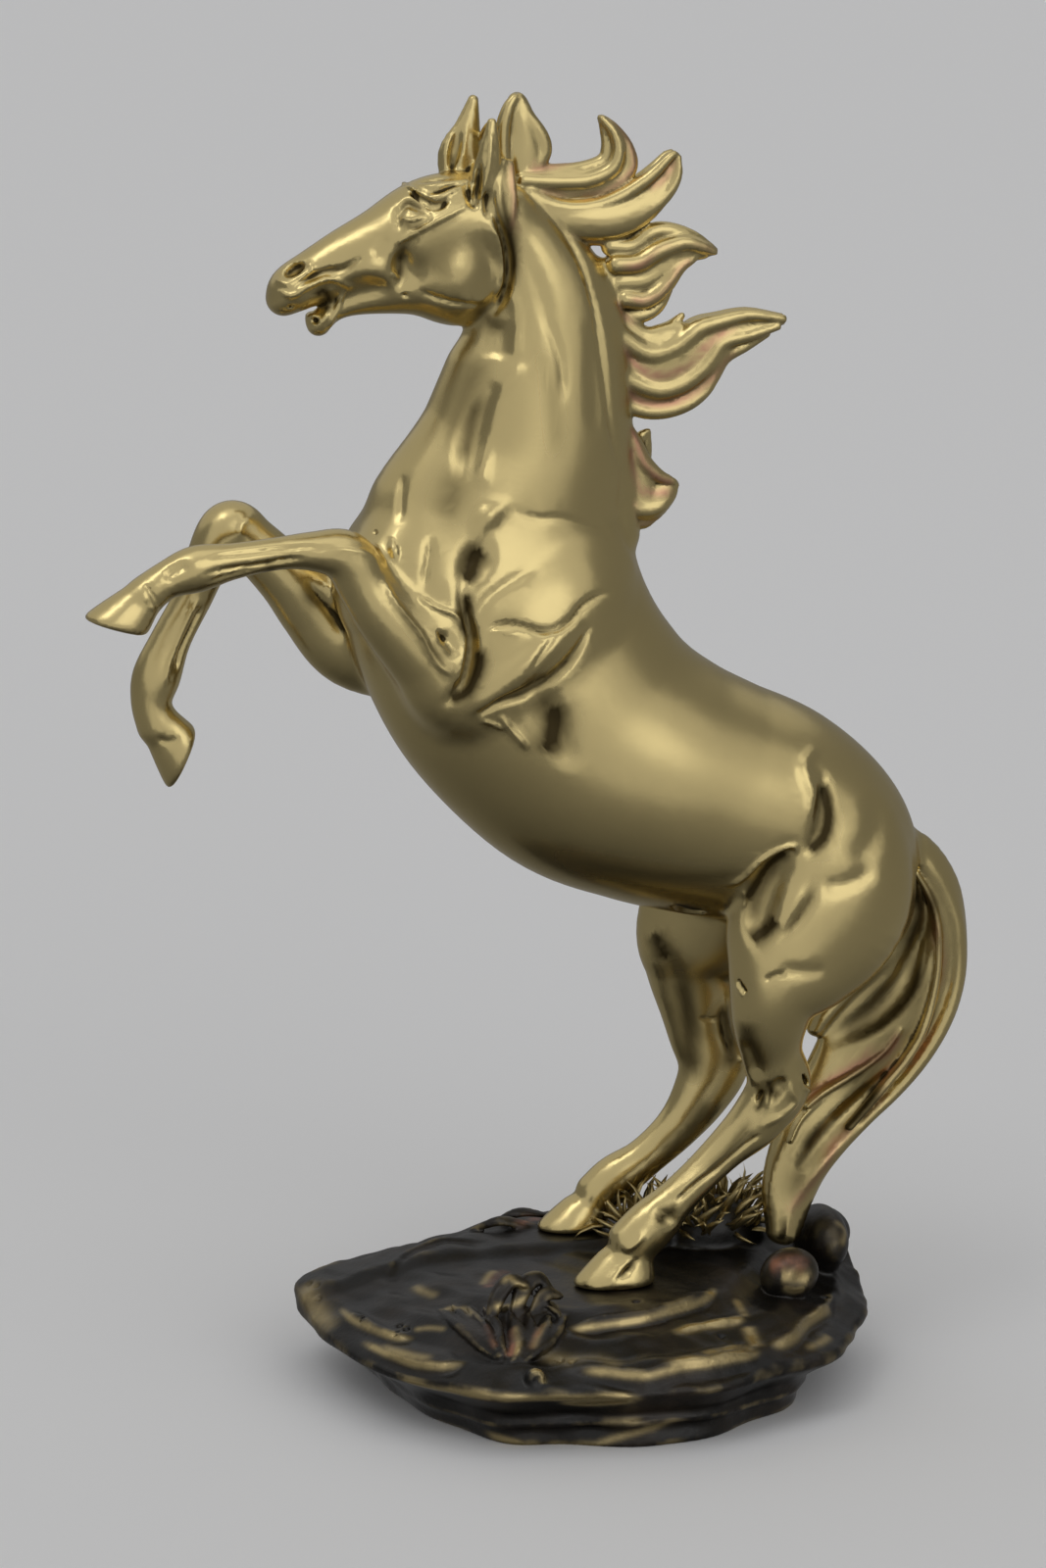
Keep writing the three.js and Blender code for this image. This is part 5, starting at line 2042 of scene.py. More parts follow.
# Name, line, distance from the tail's middle, half thicknesses, half widths, sides, fillet
TAIL_BANDS = [
    Band("outer band", [(905, 850), (925, 863), (945, 882), (960, 908), (970, 940), (972, 980),
        (966, 1015), (953, 1047), (933, 1080), (908, 1110), (882, 1136), (858, 1162), (836, 1190),
        (816, 1216), (806, 1240)], 0, (4, 5.2, 5.6, 5.8, 6, 6, 6, 5.8, 5.4, 5, 4.6, 4.2, 3.6, 2.8, 1.8),
        (2.6, 2.9, 3, 3, 3, 2.9, 2.8, 2.8, 2.6, 2.4, 2.2, 2.1, 1.9, 1.7, 1.2), HERE, 1.2),
    Band("sharp ridge", [(934, 890), (948, 915), (956, 945), (956, 985), (950, 1020), (941, 1050),
        (927, 1076), (908, 1100), (890, 1122), (866, 1150)], -5.2, (1, 1.7, 1.8, 1.8, 1.6),
        (0.7, 1, 1.2, 1.2, 0.9), BOTH, 0.5),
    Band("inner lobe", [(905, 880), (922, 905), (924, 932), (908, 960), (882, 985), (860, 1008),
        (842, 1030), (832, 1048)], 0, (3.5, 4.8, 5.2, 5.2, 5, 4.6, 4, 3),
        (2.6, 3.4, 4.2, 4.4, 3.8, 3.2, 2.8, 2.2), HERE, 1.5),
    Band("strand in the dish", [(944, 960), (938, 990), (928, 1020), (915, 1045), (896, 1062),
        (872, 1075)], -3.2, (0.8, 1.5, 1.5, 0.8), (0.6, 0.9, 0.9, 0.6), BOTH, 0.6),
    Band("copper ridge", [(918, 1050), (902, 1070), (882, 1086), (860, 1100), (838, 1114), (822, 1128)],
        -4.6, (1.2, 2, 2.2, 1.6), (0.6, 0.9, 1.1, 0.8), BOTH, 0.5),
    Band("foot strand", [(872, 1148), (852, 1170), (834, 1190), (818, 1210), (804, 1232), (800, 1258)],
        -2.6, (1.6, 2.2, 2.2, 1.4), (1, 1.5, 1.4, 0.9), BOTH, 0.8),
    Band("small ridge", [(850, 1112), (832, 1126), (816, 1142), (806, 1164)], -4.2, (0.8, 1.4, 1),
        (0.5, 0.7, 0.5), BOTH, 0.5),
    Band("small ridge", [(862, 1122), (838, 1138), (820, 1156), (806, 1180)], -3.6, (0.8, 1.4, 1),
        (0.5, 0.7, 0.5), BOTH, 0.5),
    Band("tip", [(800, 1165), (796, 1190), (796, 1215), (798, 1240), (801, 1266)], 0,
        (2, 3, 3.2, 2.6, 1.2), (1.4, 1.8, 2, 1.6, 0.9), HERE, 0.8),
    Band("lower band", [(840, 1128), (826, 1150), (812, 1175), (800, 1200), (796, 1228)], 0.4,
        (3.4, 3.8, 3.6, 3.2, 2.4), (1.6, 2.2, 2.4, 2.2, 1.6), HERE, 0.8),
]
TAIL_HOLLOWS = [
    Band("long hollow", [(936, 892), (944, 925), (940, 965), (925, 1005), (898, 1035), (866, 1055),
        (838, 1072)], -7.4, (3.2, 4.6, 5, 5, 4.6, 3.8), (1.6, 2.6, 3.6, 4.4, 3.8, 2.6), BOTH, 1.5),
    Band("foot hollow", [(905, 1100), (884, 1122), (862, 1144), (840, 1168), (822, 1190)], -6.4,
        (2.4, 3.8, 3.8, 2.6), (1.6, 3, 3, 2), BOTH, 1.2),
]


@dataclass
class GiltHorse:
    """The rearing horse, one casting.

    Args:
        sight: The photograph's camera, which lays what is drawn.
        grain: Spacing of the clay's grid.
        faces: Most triangles that its mesh may have.
        soft: Fillet from which a form counts as a muscle, and is rubbed smooth with the body.
        low: Lowest corner of the clay.
        high: Highest corner.
        coarse: Grid of the coarse horse that the drawn features are laid on.
        creased: Radius over which a crease is measured.
        crease: Depths at which a crease starts to darken with patina and painted shade, and is dark.
    """

    sight: Sight = Sight()
    grain: float = 0.6
    faces: int = 190000
    soft: float = 1.0
    low: Point = (-120, -36, 22)
    high: Point = (96, 36, 302)
    coarse: float = 1.0
    creased: float = 1.4
    crease: Spot = (0.10, 0.42)

    def __post_init__(self) -> None:
        """Lays everything that is drawn on a coarse horse."""
        clay = Clay(self.low, self.high, self.coarse)
        self.press_body(clay)
        self.press_hair(clay, LOCKS)
        tracing = Tracing(clay.skin(), self.sight)
        self.ridges = [(ridge, ridge.stations(tracing)) for ridge in RIDGES]
        self.valleys = [(valley, valley.stations(tracing)) for valley in VALLEYS]
        self.pits = [(pit, pit.stations(tracing)) for pit in PITS]
        self.lines = [(line, line.stations(tracing)) for line in LINES]
        self.shades = [(line, line.stations(tracing)) for line in SHADES]
        self.strands = [strand.stations(self.sight) for strand in STRANDS]
        self.bands = [(band, band.stations(self.sight)) for band in TAIL_BANDS]
        self.hollows = [(band, band.stations(self.sight)) for band in TAIL_HOLLOWS]

    def sculpt(self) -> Skin:
        """Presses the whole horse and wraps it."""
        clay = Clay(self.low, self.high, self.grain)
        self.press_body(clay)
        self.press_details(clay, muscles=True)
        clay.soften(round(3 * 0.36 / self.grain**2))
        thinned = [[(*row[:3], 0.72 * row[3], 0.86 * row[4]) for row in lock] for lock in LOCKS]
        self.press_hair(clay, thinned)
        self.press_strands(clay)
        self.press_details(clay, muscles=False)
        skin = clay.skin()
        LOG.info("horse skin: %d vertices", len(skin.points))
        return skin

    def press_body(self, clay: Clay) -> None:
        """Presses trunk, neck, head and legs."""
        clay.press(Tube(TRUNK, 10))
        clay.press(Tube(NECK_LINE, 10), 8)
        clay.press(Tube(THROAT, 8), 4)
        for side in (-1, 1):
            clay.press(Tube(both_sides(SHOULDER, side), 8), 3)
            clay.press(Bulge((-43.5, side * 6.5, 196), (11, 9, 13.5), -38), 4)
        clay.press(Tube(SKULL, 8), 4)
        clay.press(Tube(JAW, 4), 1.5)
        clay.press(Bulge((-31.8, 0, 261.6), (11, CHEEK, 13.2), 20), 2)
        for leg in (NEAR_FORE, FAR_FORE, NEAR_HIND, FAR_HIND):
            clay.press(Tube(leg, 7), 3)
        for hoof in HOOVES:
            clay.press(hoof, 1)

    def press_hair(self, clay: Clay, locks: Sequence[Sequence[Station]]) -> None:
        """Presses ears, crest, locks and the tail's core.

        Args:
            clay: The clay.
            locks: Stations of each lock.
        """
        clay.press(Tube(NEAR_EAR, 4), 1)
        clay.press(Tube(FAR_EAR, 4), 1)
        clay.press(Tube(CREST, 4), 2)
        for lock in locks:
            clay.press(Tube(lock, 5), 1.2)
        clay.press(Tube([(*r[:3], 0.86 * r[3], 0.93 * r[4]) for r in TAIL], 5), 2)

    def press_strands(self, clay: Clay) -> None:
        """Presses the strands of the mane and the bands of the tail."""
        for rows in self.strands:
            clay.press(Tube(rows, 4), 0.5)
            if -4 < rows[0][1] < -1.9:
                clay.press(Tube([(row[0], -3.4 - row[1], *row[2:]) for row in rows], 4), 0.5)
        for band, copies in self.hollows:
            for rows in copies:
                clay.press(Tube(rows, 4), band.fillet, carve=True)
        for band, copies in self.bands:
            for rows in copies:
                clay.press(Tube(rows, 4), band.fillet)

    def press_details(self, clay: Clay, muscles: bool) -> None:
        """Presses the drawn ridges, valleys and pits.

        Args:
            clay: The clay.
            muscles: Whether the broad forms are pressed, or the fine ones.
        """
        for features, carve in ((self.ridges, False), (self.valleys, True)):
            for feature, here in features:
                if (feature.fillet >= self.soft) == muscles:
                    for rows in feature.sides.rows(here):
                        clay.press(Tube(rows, 4), feature.fillet, carve)
        if not muscles:
            for pit, here in self.pits:
                for rows in pit.sides.rows(here):
                    clay.press(Bulge(rows[0], pit.sizes, pit.pitch), pit.fillet, carve=True)

    def draw(self, skin: Skin) -> None:
        """Draws the fine lines, and paints the shade and the copper.

        Args:
            skin: The horse's skin.
        """
        strokes = []
        for line, here in self.lines:
            for rows in line.sides.rows(here):
                strokes.append(Stroke(rows, line.depth, line.width, line.taper))
        skin.draw(strokes)
        skin.masks["hollow"] = skin.hollows()
        # Painted shade, with patina: the dark lines, the valley floors and the tail's hollows
        shade = []
        for line, here in self.shades:
            for rows in line.sides.rows(here):
                shade.append(Stroke(rows, line.depth, line.width, line.taper))
        for valley, here in self.valleys:
            floor = [(row[0], row[1] + row[3], row[2]) for row in here]
            width = 0.6 * max(row[4] for row in here)
            for rows in valley.sides.rows(floor):
                shade.append(Stroke(rows, 0.7, width, 0.3))
        for _, copies in self.hollows:
            shade += [Stroke([row[:3] for row in rows], 0.9, 2.6, 0.2) for rows in copies]
        # Creases deeper than the crease depths get painted shade and patina
        rings = round((self.creased / self.grain) ** 2)
        skin.masks["shaded"] = 0.8 * smooth_step(*self.crease, skin.hollows(1, rings))
        skin.paint("shaded", shade)
        washed = [(rows, 0.9) for rows in self.strands[1::2]]
        for band, copies in self.bands:
            if band.name in ("sharp ridge", "copper ridge", "foot strand"):
                washed += [(rows, 1.3) for rows in copies]
        skin.paint("copper", [Stroke([r[:3] for r in rows], 1.0, w, 0.1) for rows, w in washed])

    def build(self) -> bpy.types.Object:
        """Makes the horse's mesh."""
        skin = self.sculpt()
        self.draw(skin)
        piece = skin.mesh("gilt_horse")
        piece = lightened(piece, skin, self.faces)
        piece.data.shade_smooth()
        return piece


# Lips of the rock's ledges as drawn on the photograph: name, line, lift, fade
LEDGES = [
    Ledge("step before the hoof", [(578, 1357), (590, 1356), (610, 1353), (640, 1349), (660, 1346),
        (680, 1340), (700, 1334), (717, 1328), (725, 1322), (728, 1315)], 2, 3.5),
    Ledge("main shelf", [(562, 1397), (601, 1400), (640, 1408), (660, 1410), (677, 1405), (700, 1399),
        (723, 1396), (747, 1391), (766, 1388), (778, 1382)], 2.4, 4.5),
    Ledge("upper left shelf", [(350, 1337), (370, 1353), (390, 1362), (407, 1367), (425, 1368)], 1.5, 3),
    Ledge("left shelf", [(378, 1377), (400, 1387), (423, 1395), (447, 1398), (463, 1396), (477, 1390)],
        1.7, 2.8),
    Ledge("right shelf", [(783, 1376), (800, 1372), (813, 1365), (823, 1353), (837, 1343), (847, 1335),
        (853, 1310)], 1.8, 4),
    Ledge("facet", [(683, 1362), (703, 1357), (723, 1353), (743, 1350), (760, 1345)], 1.3, 2),
    Ledge("facet foot", [(700, 1388), (720, 1386), (737, 1381), (757, 1376), (772, 1366)], 0.8, 2.2),
]
# Hidden ones: a plan in millimetres
HIDDEN_LEDGES = [
    Ledge("behind the left end", [(-47, 2), (-41, 11), (-30, 14.5), (-20, 12)], 0.9, 3),
    Ledge("along the back", [(36, 24), (24, 31), (8, 34), (-8, 31), (-22, 26)], 0.9, 3),
    Ledge("behind the tail", [(46, 8), (40, 18), (28, 25), (12, 27)], 0.7, 3),
]
# Where the patina is rubbed down to gold: name, line, level, half width, sides, taper
RUBBED = [
    Line("step before the hoof", [(578, 1357), (590, 1356), (610, 1353), (640, 1349), (660, 1345),
        (680, 1339), (700, 1333), (717, 1327), (725, 1320), (728, 1313)], 1, 0.8, HERE, 0.1),
    Line("step's broad end", [(660, 1344), (680, 1338), (700, 1332), (717, 1325)], 0.8, 1, HERE, 0.3),
    Line("main shelf", [(590, 1398), (615, 1400), (640, 1403), (660, 1404), (680, 1399), (700, 1394),
        (723, 1391), (747, 1386), (766, 1382), (778, 1377)], 1, 0.9, HERE, 0.1),
    Line("main shelf's broad end", [(672, 1397), (700, 1390), (730, 1386), (760, 1378), (775, 1372)],
        0.9, 1.5, HERE, 0.2),
    Line("worn ground on the shelf", [(548, 1384), (575, 1388), (605, 1386), (640, 1394)], 0.45, 2,
        HERE, 0.2),
    Line("front rim", [(404, 1407), (437, 1416), (463, 1420), (490, 1423), (517, 1426), (543, 1427),
        (563, 1427), (590, 1427), (617, 1426), (640, 1426), (660, 1429)], 1, 0.8, HERE, 0.1),
    Line("front rim's broad end", [(568, 1430), (590, 1432), (615, 1431), (640, 1430), (655, 1430)], 1,
        1.2, HERE, 0.25),
    Line("foot", [(490, 1460), (517, 1470), (543, 1476), (573, 1479), (602, 1476), (623, 1469),
        (657, 1459), (683, 1451), (695, 1446)], 0.8, 0.8, HERE, 0.15),
    # Painted highlights: gold where the foot catches the light
    Line("foot glints", [(610, 1451), (640, 1450), (660, 1448)], 0.5, 0.8, HERE, 0.3),
    Line("left end", [(311, 1306), (316, 1325), (326, 1343), (345, 1358)], 0.5, 2.6, HERE, 0.2),
    Line("left end's top", [(312, 1298), (325, 1290), (342, 1286)], 0.4, 1.6, HERE, 0.2),
    Line("upper left shelf", [(345, 1333), (358, 1345), (370, 1352), (390, 1360), (407, 1365),
        (425, 1366)], 0.9, 0.8, HERE, 0.15),
    Line("upper left shelf's end", [(420, 1357), (440, 1355), (457, 1357)], 0.7, 0.8, HERE, 0.2),
    Line("left shelf", [(368, 1368), (380, 1374), (400, 1383), (423, 1391), (447, 1394), (463, 1393),
        (477, 1388)], 0.9, 0.8, HERE, 0.15),
    Line("left shelf's ground", [(385, 1372), (405, 1379), (425, 1384), (445, 1386)], 0.6, 1.2, HERE, 0.2),
    Line("right shelf", [(783, 1374), (800, 1370), (813, 1362), (823, 1350), (837, 1340), (847, 1333)],
        1, 1.1, HERE, 0.12),
    Line("right rim", [(820, 1377), (837, 1370), (847, 1362)], 0.5, 1, HERE, 0.2),
    Line("facet", [(683, 1360), (703, 1355), (723, 1351), (743, 1348), (760, 1343)], 1, 1.2, HERE, 0.15),
    Line("facet's top", [(750, 1324), (755, 1334), (761, 1345)], 0.8, 0.9, HERE, 0.2),
    Line("facet's right", [(762, 1352), (767, 1365), (773, 1375)], 0.9, 1.4, HERE, 0.15),
    Line("facet's foot", [(712, 1381), (737, 1378), (757, 1371)], 0.8, 1, HERE, 0.2),
    Line("stain on the top", [(421, 1311), (434, 1319), (448, 1324)], 0.55, 1.1, HERE, 0.2),
    Line("worn face of the stone", [(796, 1302), (806, 1302), (818, 1303), (826, 1306)], 1, 1.6, HERE, 0.1),
    Line("worn foot of the stone", [(798, 1313), (810, 1317), (822, 1314)], 0.9, 0.9, HERE, 0.15),
    Line("back boulder", [(850, 1244), (862, 1256), (858, 1274)], 0.4, 0.9, HERE, 0.2),
    Line("clump's left", [(492, 1312), (500, 1300), (508, 1296)], 0.8, 0.9, HERE, 0.2),
    Line("clump's middle", [(512, 1312), (518, 1303), (528, 1310), (540, 1318)], 0.8, 0.8, HERE, 0.2),
    Line("clump's lip", [(500, 1332), (515, 1333), (528, 1329), (540, 1322)], 0.9, 0.8, HERE, 0.15),
    Line("bud's rim", [(541, 1400), (548, 1397), (555, 1404), (553, 1412)], 0.9, 0.8, HERE, 0.1),
    Line("bright blade", [(524, 1385), (528, 1370), (524, 1352)], 0.8, 0.8, HERE, 0.15),
    Line("right blade", [(543, 1378), (549, 1363), (557, 1348)], 0.7, 0.8, HERE, 0.15),
    Line("frilled edge", [(452, 1337), (463, 1334), (474, 1336), (484, 1341)], 0.7, 0.8, HERE, 0.1),
]
# Where leaves and stone are reddened: name, line, level, half width, sides, taper
REDDENED = [
    Line("bright blade", [(520, 1386), (523, 1370), (521, 1354)], 1, 1, HERE, 0.1),
    Line("right blade", [(541, 1378), (547, 1364), (555, 1350)], 0.8, 0.8, HERE, 0.1),
    Line("left blade", [(506, 1376), (500, 1362), (496, 1350)], 0.5, 0.8, HERE, 0.1),
    Line("clump", [(497, 1315), (505, 1302), (520, 1296)], 0.7, 1.4, HERE, 0.15),
    Line("leaf behind the far hoof", [(522, 1249), (542, 1244), (562, 1246)], 0.8, 1.2, HERE, 0.15),
    Line("top of the stone", [(783, 1292), (798, 1287), (814, 1290), (824, 1298)], 0.8, 2, HERE, 0.15),
]
# Small holes in the rock's skin
ROCK_PITS = [
    (315, 1310), (323, 1312), (325, 1325), (370, 1347), (408, 1354), (405, 1363), (415, 1357), (842, 1325),
    (606, 1363), (571, 1388), (583, 1390), (736, 1364), (649, 1329), (806, 1309),
]
# Blades of the leaf cluster in front: name, line, half width, height, half thickness, sides, fillet
BLADES = [
    Ridge("far left blade", [(510, 1388), (492, 1374), (470, 1354), (451, 1338)], 1.5, 2, 2.4, HERE, 0.3),
    Ridge("left blade", [(512, 1388), (498, 1370), (480, 1350), (464, 1334)], 1.4, 2.8, 2.6, HERE, 0.3),
    Ridge("frilled blade", [(514, 1388), (503, 1370), (491, 1350), (480, 1336)], 1.4, 3.2, 2.8, HERE, 0.3),
    Ridge("narrow blade", [(517, 1389), (509, 1370), (502, 1352), (495, 1338)], 1.2, 3.5, 3, HERE, 0.3),
    Ridge("bright blade", [(520, 1391), (523, 1374), (523, 1358), (520, 1343)], 1.4, 4.2, 3.4, HERE, 0.3),
    Ridge("middle blade", [(526, 1390), (534, 1374), (538, 1358), (538, 1343)], 1.2, 3.4, 3, HERE, 0.3),
    Ridge("right blade", [(532, 1390), (544, 1376), (551, 1361), (557, 1345)], 1.4, 3.8, 3.2, HERE, 0.3),
    Ridge("far right blade", [(538, 1388), (553, 1374), (565, 1359), (574, 1344)], 1.4, 2.8, 2.6, HERE, 0.3),
    Ridge("clump's lip", [(497, 1333), (512, 1334), (526, 1330), (540, 1321)], 0.8, 2.2, 2.2, HERE, 0.3),
    Ridge("clump's right rim", [(546, 1325), (558, 1331), (568, 1340), (575, 1352)], 0.7, 1.8, 2, HERE, 0.3),
]
# Curled leaves of the clump above it: stations
CURLS = [
    [(-30, -31, 24, 1.4, 1.2), (-27.5, -28.5, 29, 2.2, 1.8), (-24, -27, 32, 2.2, 1.6),
        (-21, -28, 31, 1.4, 1.0)],
    [(-24, -30, 25, 1.6, 1.4), (-21, -26.5, 30, 2.4, 2.0), (-17.5, -25.5, 31.5, 2.2, 1.6),
        (-15, -27, 29.5, 1.2, 0.9)],
    [(-20, -31, 25, 1.4, 1.2), (-16.5, -28.5, 28.5, 2.0, 1.6), (-13, -28.5, 28, 1.2, 0.9)],
]
# Flat leaves behind the far hoof
FAR_CURLS = [
    [(-22, 24, 27, 0.8, 0.6), (-16, 22, 29.5, 1.8, 1.0), (-11, 20.5, 28.8, 1.8, 1.0),
        (-6, 20, 27.5, 0.8, 0.6)],
    [(-16, 28, 27, 0.8, 0.6), (-10, 26, 29.8, 1.8, 1.0), (-3, 25.5, 28.6, 1.0, 0.6)],
]


def rim_radius(angle: np.ndarray) -> np.ndarray:
    """Reach of the plinth's rim in a direction seen from above.

    Args:
        angle: The direction, in radians from +X.

    Returns:
        The reach in millimetres.
    """
    angle = np.mod(angle, 2 * np.pi)
    reach = np.where(np.sin(angle) > 0, PLINTH_BACK, PLINTH_FRONT)
    half = PLINTH_LENGTH / 2
    oval = 1 / np.hypot(np.cos(angle) / half, np.sin(angle) / reach)
    left = 6 * np.exp(-(((angle - 2.83) / 0.3) ** 2))
    right = 3.5 * np.exp(-(((angle - 5.8) / 0.42) ** 2))
    breaks = (
        1.3 * np.sin(5 * angle + 0.6)
        + 0.9 * np.sin(9 * angle + 2)
        + 0.6 * np.sin(14 * angle)
    )
    return oval + left + right + breaks


def ripple(x: np.ndarray, y: np.ndarray, z: np.ndarray | float = 0.0) -> np.ndarray:
    """Gentle unevenness of a modelled surface, about -1 to 1, repeated nowhere on the piece."""
    warp = 1.3 * np.sin(0.071 * x + 0.9) + 1.1 * np.sin(0.083 * y + 0.057 * x)
    a = np.sin(0.31 * x + 0.17 * y + 1.7 * warp + 0.23 * z)
    b = np.sin(0.19 * x - 0.37 * y + 1.3 * warp + 0.41 * z + 2.0)
    c = np.sin(0.67 * x + 0.59 * y - 1.9 * warp + 0.53 * z + 4.0)
    return 0.45 * a + 0.35 * b + 0.2 * c


@dataclass
class RockBody(Form):
    """The ledged rock: a height over its plan, on a wall that draws in under the rim.

    Args:
        ledges: Lips that stand out of its top: lift, fade and line seen from above.
    """

    ledges: Sequence[tuple[float, float, np.ndarray]] = ()

    def box(self, margin: float) -> tuple[np.ndarray, np.ndarray]:
        """Gives the rock's box, grown by margin."""
        return np.array([-76.0, -68, -3]) - margin, np.array([76.0, 46, 36]) + margin

    def top(self, x: np.ndarray, y: np.ndarray) -> np.ndarray:
        """Height of the rock's top.

        Args:
            x: Coordinates along X.
            y: Coordinates along Y.

        Returns:
            The heights.
        """
        share = np.hypot(x, y) / rim_radius(np.arctan2(y, x))
        plateau = PLINTH_TOP + (FAR_TOP - PLINTH_TOP) * smooth_step(4, 9, y)
        steps = (
            3.2 * smooth_step(0.54, 0.7, share)
            + 3 * smooth_step(0.72, 0.86, share)
            + 3.4 * smooth_step(0.88, 1, share)
        )
        fall = 1 - 0.75 * smooth_step(-8, 12, y) * (1 - 0.85 * smooth_step(8, 48, -x))
        height = plateau - steps * fall
        hooves = np.exp(-(((x - 1) / 17) ** 2) - ((y + 17.5) / 12) ** 2)
        hooves = hooves + np.exp(-(((x - 1) / 16) ** 2) - ((y - 17.5) / 11) ** 2)
        height = height + 0.55 * ripple(x, y) * np.clip(1 - 1.4 * hooves, 0, 1)
        for lift, fade, path in self.ledges:
            height = height + lift * self._lip(x, y, fade, path)
        return height

    def _lip(
        self, x: np.ndarray, y: np.ndarray, fade: float, path: np.ndarray
    ) -> np.ndarray:
        """Profile of one ledge: it rises towards its lip and drops behind it.

        Args:
            x: Coordinates along X.
            y: Coordinates along Y.
            fade: Reach of the rise.
            path: Points on the lip, uphill on their left.

        Returns:
            Heights for a lip of unit height.
        """
        line = curve_through(path, 6)
        best = np.full(np.broadcast_shapes(x.shape, y.shape), 1e9, np.float32)
        signed = np.zeros_like(best)
        place = np.zeros_like(best)
        for n in range(len(line) - 1):
            a, d = line[n], line[n + 1] - line[n]
            length = float(d @ d)
            t = np.clip(((x - a[0]) * d[0] + (y - a[1]) * d[1]) / length, 0, 1)
            px, py = x - a[0] - t * d[0], y - a[1] - t * d[1]
            gap = px * px + py * py
            closer = gap < best
            best = np.where(closer, gap, best)
            signed = np.where(closer, d[0] * py - d[1] * px, signed)
            place = np.where(closer, (n + t) / (len(line) - 1), place)
        gap = np.sqrt(best)
        ends = smooth_step(0, 0.25, place) * smooth_step(0, 0.25, 1 - place)
        ends = ends * np.exp(-np.maximum(gap - 9, 0) / 3)
        uphill = np.exp(-gap / fade)
        downhill = -np.exp(-gap / (0.6 * fade))
        edge = smooth_step(-0.5, 0.5, np.sign(signed) * gap)
        return ends * (downhill + (uphill - downhill) * edge)

    def distance(
        self, x: np.ndarray, y: np.ndarray, z: np.ndarray, margin: float
    ) -> np.ndarray:
        """Gives the distance to the rock."""
        angle = np.arctan2(y, x)
        radius = np.hypot(x, y)
        rim = rim_radius(angle) - 0.4
        lid = (z - self.top(x, y)) * 0.85
        share = np.interp(z, [0, 4, 8, 11.5, 14, 40], [1, 0.955, 0.94, 0.975, 1, 1.0])
        inset = FOOT_INSET + END_INSET * np.abs(np.cos(angle)) ** 1.5
        wall = share * rim - inset * (1 - np.clip(z / RIM_HEIGHT, 0, 1))
        front = smooth_step(0.1, 0.8, -np.sin(angle))
        lip = 1.5 * front * np.exp(-(((z - 5.2 - 0.8 * np.sin(3 * angle)) / 1.1) ** 2))
        bays = 0.5 * ripple(x, y, z * 1.4) * np.clip(z / 4, 0.2, 1)
        side = radius - wall - lip - bays
        return np.maximum(-blend_min(-lid, -side, 1.6), -z).astype(np.float32)


@dataclass
class RockPlinth:
    """The dark rock under the horse, one casting, with its leaves and stones.

    Args:
        sight: The photograph's camera, which lays what is drawn.
        grain: Spacing of the clay's grid.
        coarse: Grid of the plain rock that the drawn ledges are laid on.
        low: Lowest corner of the clay.
        high: Highest corner.
    """

    sight: Sight = Sight()
    grain: float = 0.62
    coarse: float = 1.2
    low: Point = (-76, -68, -3)
    high: Point = (76, 46, 48)

    def clay(self, grain: float, ledges: Sequence[tuple[float, float, np.ndarray]]) -> Clay:
        """Presses the rock with its boulders and the mounds of the grass."""
        clay = Clay(self.low, self.high, grain)
        clay.press(RockBody(ledges))
        clay.press(Bulge((57.5, -2, 28), (5.6, 11, 7.4)), 4)
        clay.press(Bulge((61, 6, 27), (4.5, 7, 5), 0, 20), 3)
        for centre, sizes in GrassTuft().mounds:
            clay.press(Bulge(centre, [0.88 * size for size in sizes]), 2)
        return clay

    def press_details(self, clay: Clay, plain: Tracing) -> None:
        """Presses stone, bud, leaves and small holes.

        Args:
            clay: The rock.
            plain: Where drawn points lie on the rock without them.
        """
        clay.press(Bulge((43.3, -23, 27), (7, 5.8, 6.1), 15), 0.6)
        clay.press(Bulge((46, -35.6, 28.6), (9, 8, 6.5), 10, 12), 0.8, carve=True)
        bud = plain.laid((546, 1407))
        clay.press(Bulge(bud, (2.4, 2.0, 2.6), 20), 0.4)
        clay.press(Bulge(bud - (0, 2.3, -0.4), (1.2, 1.1, 1.5), 20), 0.4, carve=True)
        for blade in BLADES:
            clay.press(Tube(blade.stations(plain), 4), blade.fillet)
        for rows in CURLS + FAR_CURLS:
            clay.press(Tube(rows, 5, lobes=3, flute=0.14, twist=0.6), 0.5)
        for spot in ROCK_PITS:
            clay.press(Bulge(plain.laid(spot), (0.9, 0.8, 0.7)), 0.4, carve=True)

    def build(self) -> bpy.types.Object:
        """Sculpts the rock and rubs its edges."""
        plain = Tracing(self.clay(self.coarse, ()).skin(), self.sight)
        ledges = [(ledge.lift, ledge.fade, ledge.plan(plain)) for ledge in LEDGES]
        ledges += [(ledge.lift, ledge.fade, np.array(ledge.line, float)) for ledge in HIDDEN_LEDGES]
        clay = self.clay(self.grain, ledges)
        clay.soften(1)
        self.press_details(clay, plain)
        skin = clay.skin()
        skin.masks["hollow"] = skin.hollows()
        finished = Tracing(skin, self.sight)
        skin.paint("rubbed", [line.painted(finished) for line in RUBBED])
        skin.paint("copper", [line.painted(finished) for line in REDDENED])
        LOG.info("rock skin: %d vertices", len(skin.points))
        piece = skin.mesh("rocky_plinth")
        piece.data.shade_smooth()
        return piece


